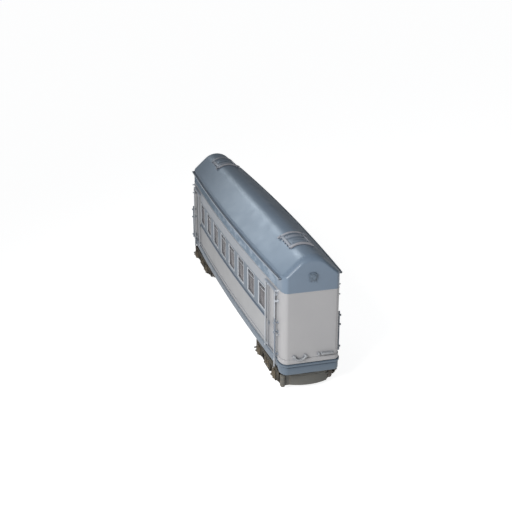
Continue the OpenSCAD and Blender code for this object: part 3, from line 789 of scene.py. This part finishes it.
def build_hatch_rims(end_name, end):
    """The frame of a hatch: two pale arches, each with a strip inside toned dark as a painted shadow line,
    and toothed side bars.
    """
    half, reach, low, high = HATCH_L / 2, HATCH_W / 2, CROWN_R - HATCH_SINK, CROWN_R + RIM_RISE
    rims = Shape(on_crown(HATCH_X, end))
    for s in (-1, 1):
        rims.tone = 1.0
        middle = s * (half - 1.3)
        crown_arch(rims, middle - 1.3, middle + 1.3, RIM_RISE, reach, 0.3)
        # painted shadow: the strip inside each arch is toned dark
        rims.tone = -1.0
        middle = s * (half - 3.3)
        crown_arch(rims, middle - 0.9, middle + 0.9, 0.75, reach - 1.2, 0.06)
    rims.tone = 0.7
    top = high - 0.25
    spread = math.asin(reach / high)
    for s in (-1, 1):
        rings = []
        for a in steps(math.asin((reach - 1.6) / high), spread, 3):
            rings.append([(x, s * r * math.sin(a), r * math.cos(a))
                          for x, r in ((1 - half, low), (half - 1, low), (half - 1, top), (1 - half, top))])
        rims.skin(rings, bevel=0.2)
        across = Vector((0, s * math.cos(spread), -math.sin(spread)))
        out = Vector((0, s * math.sin(spread), math.cos(spread)))
        for i in range(5):
            root = Vector(((i - 2) * (HATCH_L - 5) / 4, 0, 0)) + (high - 0.6) * out
            rims.tube([root - 0.5 * across, root + 0.9 * across], 0.6, 10, 0.2)
        hook = Vector((1.2 - half, 0, 0)) + high * out
        rims.tube([hook - 0.5 * across, hook + 2.2 * across], 0.75, 12, 0.25)
    add(rims, end_name + "_hatch_rims", end_name + "_hatch_frame")


def build_hatch_cover(end_name, end):
    """The lid of a hatch: a sunk edge toned dark as painted shade, two raised fields with a painted shadow
    line on each, and four pegs.
    """
    half, reach = HATCH_L / 2, HATCH_W / 2
    lid = Shape(on_crown(HATCH_X, end))
    # tones below 0 are painted shade: the sunk edge and the two dark lines
    for tone, x0, x1, rise, inset, bevel, lean in (
            (-0.9, 2.2 - half, half - 2.2, 0.4, 1.5, 0.08, 0.0),
            (0.75, 4.2 - half, -3.6, 0.6, 2.0, 0.15, 0.6),
            (0.1, -1.0, half - 4.0, 0.6, 2.4, 0.15, 0.6),
            (-1.0, -3.4, -1.6, 0.68, 3.2, 0.05, 1.0),
            (-1.0, 2.2, 3.6, 0.68, 4.6, 0.05, 0.8)):
        lid.tone = tone
        crown_arch(lid, x0, x1, rise, reach - inset, bevel, lean)
    lid.tone = 0.4
    for s in (-1, 1):
        a = s * math.asin((reach - 3.8) / CROWN_R)
        up = Vector((0, math.sin(a), math.cos(a)))
        for x in (-6.4, 6.4):
            base = Vector((x, 0, 0)) + (CROWN_R + 0.1) * up
            lid.tube([base, base + 0.95 * up], 0.42, 12, 0.12)
    add(lid, end_name + "_hatch_cover", end_name + "_hatch_lid")


def build_lamp(end_name, end):
    """A shield-shaped case on the end of the roof, with a lens ring and two prongs."""
    w = 2.7
    lamp = Shape(mirrored(end) @ moved(HALF, 0, SHOULDER_Z - 2.3) @ FACING_X, -0.05)
    shield = arc(0, 0, w, 180, 360, 18) + [(w, 2.1), (w - 0.35, 2.4), (-w + 0.35, 2.4), (-w, 2.1)]
    lamp.plate(shield, -0.1, 1.0, 0.25, 3)
    lens = [(0.01, 0.5), (1.75, 0.5), (1.75, 1.1), (1.62, 1.25), (1.42, 1.25), (1.32, 1.12), (0.01, 1.08)]
    lamp.lathe(lens, 28)
    for s in (-1, 1):
        lamp.tube([(s * 1.5, 0.3, -1.9), (s * 1.9, 0.45, -3.0), (s * 1.95, 0.45, -3.6)], 0.32, 10, 0.12)
    lamp.block((-1.6, 0.2, 2.2), (1.6, 0.85, 2.75))
    add(lamp, end_name + "_lamp_case", end_name + "_lamp")


# ---------- body ----------

def along_sides(name, node, runs, stands_for=True):
    """Sweeps each profile along both sides, as far as its reach, and makes one piece a side of them."""
    for side_name, side in SIDES.items():
        shape = Shape(mirrored(side=side))
        for reach, profile in runs:
            shape.sweep(side_places(reach), profile)
        add(shape, side_name + name, side_name + node, stands_for)


def build_side_rails():
    """Sills, fine beads on the lower panels and under the letterboard, and belt rails."""
    foot = shifted([(-WALL, 0.05), (0.05, 0), (0.22, 0.1), (0.3, 0.3)], SILL_Z)
    head = shifted([(0.3, -0.95), (0.12, -0.85), (0.12, -0.65), (0.3, -0.55), (0.3, -0.15), (0.2, 0),
                    (-WALL, 0)], SILL_TOP)
    along_sides("_sill_rail", "_sill", [(SIDE_END, foot + head)])

    beads = []
    for z, out, high, reach in ((SILL_TOP + 0.5, 0.28, 0.35, BELT_END),
                                (SILL_TOP + 3.0, 0.32, 0.4, BELT_END),
                                (EAVES_Z - 0.75, 0.3, 0.4, SIDE_END - 0.1)):
        half = high / 2
        bead = [(-0.3, -half), (out * 0.6, -half), (out, -half / 2), (out, half / 2), (out * 0.6, half),
                (-0.3, half)]
        beads.append((reach, shifted(bead, z)))
    along_sides("_side_beads", "_side", beads, False)

    belt = shifted([(-0.1, 0), (0.4, 0), (0.6, 0.2), (0.6, 0.75), (0.42, 0.95), (0.42, 1.1), (0.3, 1.3),
                    (-0.1, 1.3)], BELT_Z)
    along_sides("_belt_moulding", "_belt_rail", [(BELT_END, belt)])


def build_windows():
    """Window frames with a transom, a pane below and above it, and a narrow pane in each door."""
    w, h, bar = WINDOW_W / 2 - 0.1, WINDOW_H - 0.1, TRANSOM_Z
    sash = [(0, -WALL), (0, 0.1), (0.1, 0.2), (0.35, 0.2), (0.45, 0.1), (0.5, -0.1), (0.62, -0.2),
            (0.62, -WALL)]
    x0, x1, z0, z1 = PANE
    for name, side in SIDES.items():
        frames, panes = Shape(), Shape()
        for x in WINDOW_X:
            frames.at = panes.at = on_face(x, WINDOW_Z, side)
            frames.loop(rounded(-w, w, 0.1, h, 0.35), sash)
            frames.block((0.5 - w, -WALL, bar + 0.1), (w - 0.5, -0.42, bar + 0.45), 0.1)
            panes.block((0.2 - w, -1.15, 0.3), (w - 0.2, -0.6, bar + 0.3), 0.1)
            panes.block((0.2 - w, -1.05, bar + 0.25), (w - 0.2, -0.5, h - 0.2), 0.1)
        for end in ENDS.values():
            panes.at = on_face(DOOR_X, DOOR_Z, side, end)
            panes.block((x0 - 0.3, DOOR_FACE - 0.7, z0 - 0.3), (x1 + 0.15, DOOR_FACE - 0.22, z1 + 0.3), 0.1)
        add(frames, name + "_sashes", name + "_window_frames")
        add(panes, name + "_panes", name + "_glazing")


def build_doors():
    """Doors with rails and stiles, sunk panels, a centre strip, a framed light and three hinges."""
    w, top = DOOR_W / 2 - 0.1, DOOR_H - 0.1
    back, face = DOOR_FACE - 0.9, DOOR_FACE
    x0, x1, z0, z1 = PANE
    left, right = 1.6 - w, x1 + 0.2
    stiles = (((-w, 0.1), (1.8 - w, top)), ((x1, 0.1), (w, top)), ((left, z1), (right, top)),
              ((left, 15.0), (right, z0)), ((left, 0.1), (right, 4.0)), ((-1.4, 3.8), (x0, top - 0.5)),
              ((left, z0 - 0.2), (-1.2, z1 + 0.2)))
    for name, side in SIDES.items():
        leaves = Shape()
        for end in ENDS.values():
            leaves.at = on_face(DOOR_X, DOOR_Z, side, end)
            for low, high in stiles:
                leaves.block((low[0], back, low[1]), (high[0], face, high[1]), 0.12)
            for a, b in ((left, -1.2), (x0 - 0.2, right)):
                leaves.block((a, back + 0.05, 3.8), (b, face - 0.35, 15.2), 0.05)
                leaves.loop(rounded(a + 0.3, b - 0.3, 4.1, 14.9, 0.3, 3),
                            shifted([(0, -0.4), (0, -0.15), (0.25, -0.1), (0.5, -0.4)], face))
            leaves.bar(0, face, 2.0, top - 2.0, 0.32, 10, 0.1)
            light = shifted([(-0.35, -0.2), (-0.3, 0.12), (0.0, 0.14), (0.22, -0.1)], face) + [(0.22, back)]
            leaves.loop(rounded(x0, x1, z0, z1, 0.3, 3), light)
            for z in (7.0, 24.0, 41.0):
                leaves.bar(w - 0.15, face + 0.12, z - 1.2, z + 1.2, 0.3, 10, 0.1)
        add(leaves, name + "_door_leaves", name + "_doors")


def build_door_pulls():
    """A short upright handle on two feet at each door."""
    pulls = Shape(tone=-0.3)
    for side, end in CORNERS:
        pulls.at = on_face(DOOR_X - DOOR_W / 2 + 1, SILL_Z + 22.7, side, end, DOOR_FACE)
        pulls.bar(0, 0.8, 0.05, 2.55, 0.4, 12)
        for z in (0.6, 2.0):
            pulls.tube([(0, -0.1, z), (0, 0.8, z)], 0.28, 10)
            pulls.tube([(0, -0.1, z), (0, 0.22, z)], 0.5, 12, 0.1)
    add(pulls, "door_pulls", "door_handles")


def build_rain_strips():
    """A strip over each door, drooping at its ends, on two tabs."""
    strips = Shape(tone=0.85)
    half, droop = 11.5, 2.2
    drip = [(-0.1, 0.0), (1.5, -0.05), (1.82, 0.05), (1.9, 0.35), (1.7, 0.62), (-0.1, 0.8)]
    for side, end in CORNERS:
        strips.at = on_face(DOOR_X - 1.5, EAVES_Z - 2.6, side, end)
        rings = []
        for x in steps(-half, half, 20):
            sag = -0.5 * max(0.0, (abs(x) - half + droop) / droop) ** 2
            rings.append([(x, y, z) for y, z in shifted(drip, sag)])
        strips.skin(rings)
        for x in (-11.0, 11.0):
            strips.block((x - 0.5, -0.1, -1.6), (x + 0.5, 0.9, 0.1), 0.2)
    add(strips, "rain_strips", "door_hoods")


def build_door_poles():
    """A round post on each side of a door; the outer one has collars and reaches below the sill."""
    poles = Shape(tone=0.9)
    low, top = SILL_TOP + 2, EAVES_Z - 3.0
    for side, end in CORNERS:
        poles.at = on_face(DOOR_X - DOOR_W / 2 - 1.6, 0, side, end)
        poles.bar(0, 1.3, SILL_TOP + 0.5, top, 0.55)
        for z in (low, top - 2.1):
            poles.pin(z, 1.3)
        poles.at = on_face(DOOR_X + DOOR_W / 2 + 1.2, 0, side, end)
        poles.bar(0, 1.6, SILL_Z - 0.8, top, 0.55)
        for z in (low, BELT_Z, top - 2.1):
            poles.pin(z, 1.6)
            poles.bar(0, 1.6, z - 0.5, z + 0.5, 0.75, edge=0.2)
    add(poles, "door_poles", "door_posts")


def build_grab_rails():
    """An upright rail near each corner on three long pins, thicker at its foot."""
    rails = Shape(tone=0.0)
    for side, end in CORNERS:
        rails.at = on_face(SIDE_END - 1, SILL_Z, side, end)
        rails.bar(0, 2.3, 7.2, 36.2, 0.55, edge=0.2)
        rails.bar(0, 2.3, 7.2, 9.2, 0.85, edge=0.25)
        for z in (10.0, 26.3, 33.2):
            rails.pin(z, 3.5, 1.0, 0.4)
            rails.stud(0, z, 0.75, 2.9, 3.7, 14, 0.25)
            rails.bar(0, 2.3, z - 0.6, z + 0.6, 0.8, edge=0.2)
    add(rails, "grab_rails", "corner_grab_rails")


def build_corner_hooks():
    """Two tapered lugs near the eaves and a small hook on each corner."""
    hooks = Shape(tone=0.8)
    lug = [(1.3, -0.1), (1.3, 0.3), (1.05, 0.6), (0.75, 1.5), (0.45, 2.4), (0.25, 2.75), (0.01, 2.8)]
    for side, end in CORNERS:
        for z in (48.7, 56.0):
            hooks.at = on_face(SIDE_END - 1.2, SILL_Z + z, side, end)
            hooks.lathe(lug, 20)
        hooks.at = on_face(SIDE_END + 0.9, SILL_Z + 25, side, end)
        hooks.tube([(0, -0.1, 0), (0, 1.0, 0), (0, 1.5, -0.15), (0, 1.62, -0.7)], 0.42, 12, 0.12)
        hooks.stud(0, 0, 0.75, -0.1, 0.35, 16, 0.12)
    add(hooks, "corner_hooks", "corner_brackets")


def build_end_panel(end_name, end):
    """The rounded end wall, with a ledge along its foot and a bead under the eaves."""
    panel = Shape(mirrored(end))
    ledge = [(-WALL, 0), (0.42, 0), (0.56, 0.12), (0.6, 0.35), (0.6, 2.8), (0.52, 3.1), (0.3, 3.28),
             (0.1, 3.32), (0.0, 3.5)]
    rise = [(0.0, z) for z in steps(SILL_TOP + 3.5, EAVES_Z - 0.9, 10)[1:]]
    bead = [(0.16, -0.7), (0.2, -0.45), (0.12, -0.15), (0.0, 0), (-WALL, 0)]
    panel.sweep(end_places(), shifted(ledge, SILL_TOP) + rise + shifted(bead, EAVES_Z))
    add(panel, end_name + "_end_panel", end_name + "_end")


def build_end_beam(end_name, end):
    """The beam round the end, its lower edge rising in a curve to the sill on both sides."""
    beam = Shape(mirrored(end))
    lower = [(-WALL, 0.1), (0.2, 0), (0.48, 0.15), (0.6, 0.45)]
    upper = [(0.6, -2.75), (0.45, -2.5), (0.1, -2.45), (0.1, -2.15), (1.0, -2.0), (1.22, -1.9), (1.3, -1.65),
             (1.3, -0.85), (1.2, -0.6), (0.9, -0.5), (0.25, -0.42), (0.25, -0.1), (-WALL, -0.1)]
    rings = []
    for x, y, nx, ny in end_places():
        t = min(1.0, max(0.0, (HALF - 5.2 - x) / 3.8))
        low = BEAM_Z + 2.6 * (1 - math.sqrt(1 - t * t))
        profile = shifted(lower, low) + shifted(upper, SILL_TOP)
        rings.append([(x + d * nx, y + d * ny, z) for d, z in profile])
    beam.skin(rings)
    add(beam, end_name + "_buffer_beam", end_name + "_beam")


def build_end_grips(end_name, end):
    """A drooping grip on the right, a straight one on the left and a small block between them."""
    grips = Shape(mirrored(end) @ moved(HALF, 0, SILL_TOP + 5.5))
    off, bend, half, middle = 1.3, 4.4, 4.0, -8.3
    turn = math.asin(half / bend)
    lift = bend * math.cos(turn)
    droop = [(off, middle + bend * math.sin(a), lift - bend * math.cos(a)) for a in steps(-turn, turn, 16)]
    grips.tube(droop, 0.7, 16, 0.25)
    for y in (middle - half, middle + half):
        grips.block((-0.1, y - 1.0, -0.9), (1.0, y + 1.0, 0.9), 0.3, 3)
        grips.tube([(0.5, y, 0), (off + 0.8, y, 0)], 0.9, 16, 0.3)
    grips.tube([(off, 6.8, 0), (off, 15.4, 0)], 0.7, 16, 0.25)
    for y in (7.6, 14.6):
        grips.tube([(-0.1, y, 0), (off, y, 0)], 0.6, 12)
        grips.tube([(-0.1, y, 0), (0.4, y, 0)], 1.1, 16, 0.2)
    grips.block((-0.1, 4.2, -0.9), (1.6, 5.6, 1.1), 0.3, 3)
    add(grips, end_name + "_end_grips", end_name + "_handles")


# ---------- bogies, drawn at their pivot ----------

def axle_guard(shape):
    """The plate behind an axlebox, drawn at its axle, with an edge strip and two bolts on each side."""
    y0, y1, top, low = FRAME_IN, FRAME_OUT, FRAME_TOP, FRAME_LOW
    half = [(2.7, low + 1.5), (2.7, low + 1), (4.0, low + 1), (4.0, top - 3.6), (5.2, top - 2.2),
            (5.2, top - 1)]
    shape.plate(half + [(-x, z) for x, z in reversed(half)], y0, y1 - 0.3, 0.2)
    for s in (-1, 1):
        shape.block((s * 3.5 - 0.45, y0 + 1, low + 1.1), (s * 3.5 + 0.45, y1, top - 2.6), 0.2)
        shape.stud(s * 3.5, low + 2.0, 0.42, y1 - 0.4, y1 + 0.35, 6, 0.12)
        shape.stud(s * 4.3, top - 1.3, 0.42, y1 - 0.4, y1 + 0.35, 6, 0.12)
    shape.tube([(-3.6, y0 + 1.2, low + 0.7), (3.6, y0 + 1.2, low + 0.7)], 0.5, 10, 0.15)


def side_frame(shape, reach):
    """One side frame on the left: a top bar, two axle guards, a spring plank and end pieces."""
    y0, y1, top, low = FRAME_IN, FRAME_OUT, FRAME_TOP, FRAME_LOW
    shape.block((-FRAME_LONG, y0, top - 2.6), (reach, y1 - 0.25, top), 0.3, 3)
    for z0, z1 in ((top - 0.75, top - 0.05), (top - 2.6, top - 1.95)):
        shape.block((0.5 - FRAME_LONG, y0 + 1, z0), (reach - 0.5, y1, z1), 0.22)
    plank = [(-7, low + 0.3), (-5.6, low), (5.6, low), (7, low + 0.3), (7, low + 2.2), (-7, low + 2.2)]
    shape.plate(plank, y0, y1, 0.25, 3)
    for s, outer in ((-1, -FRAME_LONG), (1, reach)):
        with shape.placed(moved(s * AXLE_X, 0, 0)):
            axle_guard(shape)
        post = s * 6.2
        shape.block((post - 0.8, y0, low), (post + 0.8, y1, top), 0.25, 3)
        for z in (low + 1.1, top - 1.3):
            shape.stud(post, z, 0.45, y1 - 0.2, y1 + 0.4, 6, 0.12)
        stay = [(s * x, y0 + 1.1, low + z) for x, z in ((15.0, 1.6), (12.4, 0.8), (7.0, 0.8))]
        shape.tube(stay, 0.55, 10, 0.15)
        inner = outer - 4 * s
        piece = [(inner, top), (inner, top - 4.2), (inner + 1.4 * s, low + 2), (outer, low + 2),
                 (outer, top)]
        shape.plate(piece, y0, y1, 0.25, 3)
        shape.stud(outer - 2 * s, top - 1.3, 0.5, y1 - 0.2, y1 + 0.45, 6, 0.12)
        shape.stud(outer - 1.1 * s, low + 3.4, 0.6, y1 - 0.2, y1 + 1.9, 14, 0.2)
        shape.stud(outer - 1.1 * s, low + 3.4, 0.95, y1 - 0.2, y1 + 0.4, 16, 0.15)
        for x in (9.0, 12.2):
            shape.stud(s * x, top - 1.3, 0.3, y1 - 0.5, y1 + 0.12, 12, 0.12)


def axlebox(shape):
    """A stepped block with slotted cheeks, a lid with three bolts and a round cover, drawn at its axle's
    height on the face of the side frame."""
    body = [(-3.0, -2.7), (-2.4, -3.3), (2.4, -3.3), (3.0, -2.7), (3.0, 2.6), (2.2, 3.3), (-2.2, 3.3),
            (-3.0, 2.6)]
    shape.plate(body, -0.35, 0.9, 0.22, 3)
    for s in (-1, 1):
        shape.block((s * 2.75 - 0.35, 0.4, -2.3), (s * 2.75 + 0.35, 1.15, 2.3))
    lid = [(-2.2, -2.2), (-1.7, -2.6), (1.7, -2.6), (2.2, -2.2), (2.2, 1.6), (1.3, 2.6), (-1.3, 2.6),
           (-2.2, 1.6)]
    shape.plate(lid, 0.7, 1.5, 0.22, 3)
    shape.lathe([(1.75, 1.3), (1.75, 1.75), (1.5, 2.0), (1.05, 2.05), (0.95, 1.9), (0.7, 1.9), (0.6, 2.2),
                 (0.01, 2.25)], 28)
    for x, z in ((-1.65, -1.9), (1.65, -1.9), (0, 2.1)):
        shape.stud(x, z, 0.34, 1.4, 1.85, 6, 0.1)
    shape.stud(0, 0, 0.55, 2.1, 3.1, 14, 0.2)
    shape.block((-0.7, 0.2, 3.1), (0.7, 1.2, 3.75), 0.18)
    shape.stud(0, -3.15, 0.5, 0.3, 1.5, 12, 0.15)


def spring(shape, height):
    """A coil spring between two seats on a centre pin, drawn from the middle of its foot."""
    coils, r = 5, 1.05
    points = []
    for t in steps(0, 1, coils * 14):
        a = t * coils * 2 * math.pi
        points.append((r * math.cos(a), r * math.sin(a), 0.45 + t * (height - 0.9)))
    shape.tube(points, 0.33, 8)
    for z, turn in ((0, 90), (height, -90)):
        with shape.placed(moved(0, 0, z) @ Matrix.Rotation(math.radians(turn), 4, "X")):
            shape.lathe([(1.45, 0.0), (1.45, 0.3), (1.3, 0.45), (0.5, 0.5)], 24)
    with shape.placed(FACING_Z):
        shape.lathe([(0.55, 0.1), (0.55, height - 0.1)], 16)


def build_bogie_sides(end_name, end):
    """The side frames of a bogie, with an axlebox for each wheel and a spring beside each post."""
    frames, boxes, springs = Shape(), Shape(), Shape()
    foot, head = FRAME_LOW + 2.15, FRAME_TOP - 2.55
    for side, reach in ((1, FRAME_SHORT), (-1, FRAME_LONG)):
        frames.at = boxes.at = springs.at = at_pivot(end, side)
        side_frame(frames, reach)
        for s in (-1, 1):
            with boxes.placed(moved(s * AXLE_X, FRAME_OUT, AXLE_Z)):
                axlebox(boxes)
            with springs.placed(moved(s * 3, FRAME_IN + 1.6, foot)):
                spring(springs, head - foot)
    add(frames, end_name + "_bogie_side_members", end_name + "_side_frames")
    add(boxes, end_name + "_bogie_axle_boxes", end_name + "_axleboxes")
    add(springs, end_name + "_bogie_coil_springs", end_name + "_springs")


def build_bolster(end_name, end):
    """The cross-piece round the pivot, with stiffening bars, feet and bolt heads."""
    bolster = Shape(at_pivot(end))
    low, top = BOLSTER_Z, BOLSTER_TOP
    for s in (-1, 1):
        y0, y1 = sorted((s * 2.3, s * FRAME_IN))
        bolster.block((-5, y0, low), (5, y1, top), 0.3, 3)
        bolster.block((s * 3.65 - 1.35, -2.6, low), (s * 3.65 + 1.35, 2.6, top), 0.1)
        bolster.block((s * 8 - 1.6, -8, low + 0.6), (s * 8 + 1, 8, top - 0.6), 0.25)
        bolster.block((-8, s * 7 - 1, low + 0.6), (8, s * 7 + 1, top - 0.6), 0.2)
        for x in (-3.9, 3.9):
            bolster.block((x - 0.4, s * 13.3 - 4.4, low - 0.5), (x + 0.4, s * 13.3 + 4.4, low + 0.2))
        for x in (-3, 3):
            with bolster.placed(moved(x, s * 16.3, top) @ FACING_Z):
                bolster.lathe([(0.7, -0.1), (0.7, 0.2), (0.5, 0.32), (0.01, 0.35)], 16)
    add(bolster, end_name + "_bogie_bolster", end_name + "_bogie_frame")


def build_brakes(end_name, end):
    """A cross rod, hangers and shoes at the inner side of each axle, and two pull rods between them."""
    brakes = Shape(at_pivot(end))
    rod_x, rod_z, z = AXLE_X - TREAD_R - 2.4, BOLSTER_Z + 0.3, AXLE_Z
    for s in (-1, 1):
        x = s * rod_x
        brakes.tube([(x, -18, rod_z), (x, 18, rod_z)], 0.45, 12, 0.12)
        first, last = (198, 162) if s > 0 else (-18, 18)
        shoe = (arc(s * AXLE_X, z, TREAD_R + 0.55, first, last, 8)
                + arc(s * AXLE_X, z, TREAD_R + 2.0, last, first, 8))
        for y in (-16.9, 16.9):
            brakes.plate(shoe, y - 1.0, y + 1.0)
            brakes.tube([(x, y, rod_z), (x - 0.25 * s, y, z - 0.3)], 0.5, 12, 0.15)
            brakes.tube([(x - 0.3 * s, y - 1.3, z - 0.2), (x - 0.3 * s, y + 1.3, z - 0.2)], 0.4, 10, 0.1)
    for y in (-6.0, 6.0):
        brakes.tube([(-rod_x, y, rod_z - 0.45), (rod_x, y, rod_z - 0.45)], 0.4, 10, 0.1)
    add(brakes, end_name + "_bogie_brake_rigging", end_name + "_brake_gear")


def build_guard(end_name, end):
    """The bowed guard on its two arms, with a cheek and a ringed post at its right end."""
    guard = Shape(at_pivot(end))
    inside = GUARD_R - 1.2
    spread = math.asin(GUARD_Y / GUARD_R)
    places = [(GUARD_R * math.cos(a), GUARD_R * math.sin(a), math.cos(a), math.sin(a))
              for a in steps(-spread, spread, 28)]
    foot = [(-1.2, 0.1), (-0.2, 0), (0, 0.25)]
    head = [(0, -1.7), (-0.12, -1.55), (-0.12, -1.3), (0, -1.15), (0, -0.2), (-0.25, 0), (-1.2, 0)]
    guard.sweep(places, shifted(foot, GUARD_Z) + shifted(head, GUARD_TOP))

    cheek_x, end_y = FRAME_LONG + 0.9, -FRAME_IN
    guard.block((cheek_x - 0.3, -17.6, GUARD_Z + 0.2), (cheek_x + 0.35, -12.6, GUARD_TOP - 0.1), 0.2, 3)
    guard.block((cheek_x - 1.0, end_y - 1.0, GUARD_Z + 0.3), (cheek_x + 1.0, end_y + 0.9, GUARD_TOP), 0.25)
    with guard.placed(moved(cheek_x + 0.7, end_y + 0.6, GUARD_Z) @ FACING_Z):
        guard.lathe([(1.3, 0.0), (1.55, 0.25), (1.6, 0.6), (1.6, 8.3), (1.45, 8.75), (1.1, 9.0)], 32)
        for height in (1.4, 4.5, 7.6):
            guard.lathe(shifted([(1.5, -0.35), (1.72, -0.22), (1.72, 0.22), (1.5, 0.35)], height), 32)
    guard.tube([(28.2, GUARD_Y - 1, GUARD_Z + 5.6), (28.2, GUARD_Y + 1, GUARD_Z + 5.6)], 0.6, 14, 0.2)

    arm_z = BOLSTER_Z + 0.7
    for y in (-12.9, 12.9):
        tip = math.sqrt(inside ** 2 - y ** 2) + 0.3
        guard.block((5, y - 0.6, arm_z), (tip, y + 0.6, arm_z + 1.0), 0.2)
        for x in (7.0, 24.5):
            with guard.placed(moved(x, y, arm_z + 0.8) @ FACING_Z):
                guard.lathe([(0.42, 0.0), (0.42, 0.45), (0.3, 0.55)], 6)
    add(guard, end_name + "_bogie_end_fender", end_name + "_end_guard")


def wheel_pair(shape):
    """Two wheels, each a tyre with its flange, a dished web with a raised rim, and a stepped hub."""
    inner = [(1.5, -0.1), (3.0, -0.1), (3.2, 0.1), (3.25, 1.0), (3.6, 1.25), (5.6, 1.15), (6.1, 0.9),
             (6.2, 0.15), (6.4, 0), (8.05, 0), (8.3, 0.15), (8.4, 0.42), (8.3, 0.7), (7.95, 0.95),
             (7.65, 1.15), (7.5, 1.4)]
    outer = [(7.48, -0.2), (7.36, -0.03), (7.2, 0), (6.6, 0), (6.45, -0.12), (6.35, -0.7), (6.05, -1.0),
             (5.4, -1.2), (4.2, -1.3), (3.6, -1.15), (3.35, -0.7), (3.2, -0.1), (3.05, 0.08), (1.9, 0.1),
             (1.75, -0.05), (1.5, -0.05)]
    face = WHEEL_OUT
    for side in SIDES.values():
        with shape.placed(mirrored(side=side)):
            shape.lathe(shifted(inner, WHEEL_IN) + shifted(outer, face), 96, hollow=True)
            for a in turns(4):
                shape.stud(4.75 * math.cos(a), 4.75 * math.sin(a), 0.55, face - 1.35, face - 0.95, 16, 0.12)
            shape.block((-0.35, face - 0.02, 2.05), (0.35, face + 0.2, 3.0), 0.1)


def axle_bar(shape):
    """The axle: a plain middle with shoulders at the wheels and turned-down journals."""
    end = FRAME_IN + 1.7
    half = ([(1.5, 0.0)] + shifted([(1.5, -2.4), (1.38, -2.2), (1.38, -1.6), (1.5, -1.4)], WHEEL_IN - 0.1)
            + shifted([(1.5, 0.12), (1.4, 0.2), (1.0, 0.22)], WHEEL_OUT) + [(1.0, end - 0.25), (0.8, end)])
    shape.lathe([(r, -y) for r, y in half[:0:-1]] + half, 40)


def build_wheelsets(end_name, end):
    """The outer and the inner wheelset of a bogie, an axle and a pair of wheels each."""
    for name, s in (("outer", 1), ("inner", -1)):
        place = at_pivot(end) @ moved(s * AXLE_X, 0, AXLE_Z)
        axle, pair = Shape(place), Shape(place)
        axle_bar(axle)
        wheel_pair(pair)
        wheelset = "%s_%s_" % (end_name, name)
        add(axle, wheelset + "axle_bar", wheelset + "axle")
        add(pair, wheelset + "wheel_pair", wheelset + "wheels")


# ---------- build ----------

for name, node in frame["nodes"].items():
    node.data.materials.clear()
    node.data.materials.append(MATERIALS[SLOT_OF[name]])

build_roof()
build_gutters()
build_side_rails()
build_windows()
build_doors()
build_door_pulls()
build_rain_strips()
build_door_poles()
build_grab_rails()
build_corner_hooks()
for end_name, end in ENDS.items():
    build_hatch_rims(end_name, end)
    build_hatch_cover(end_name, end)
    build_lamp(end_name, end)
    build_end_panel(end_name, end)
    build_end_beam(end_name, end)
    build_end_grips(end_name, end)
    build_bogie_sides(end_name, end)
    build_bolster(end_name, end)
    build_brakes(end_name, end)
    build_guard(end_name, end)
    build_wheelsets(end_name, end)

add_camera()
add_studio()
add_floor()
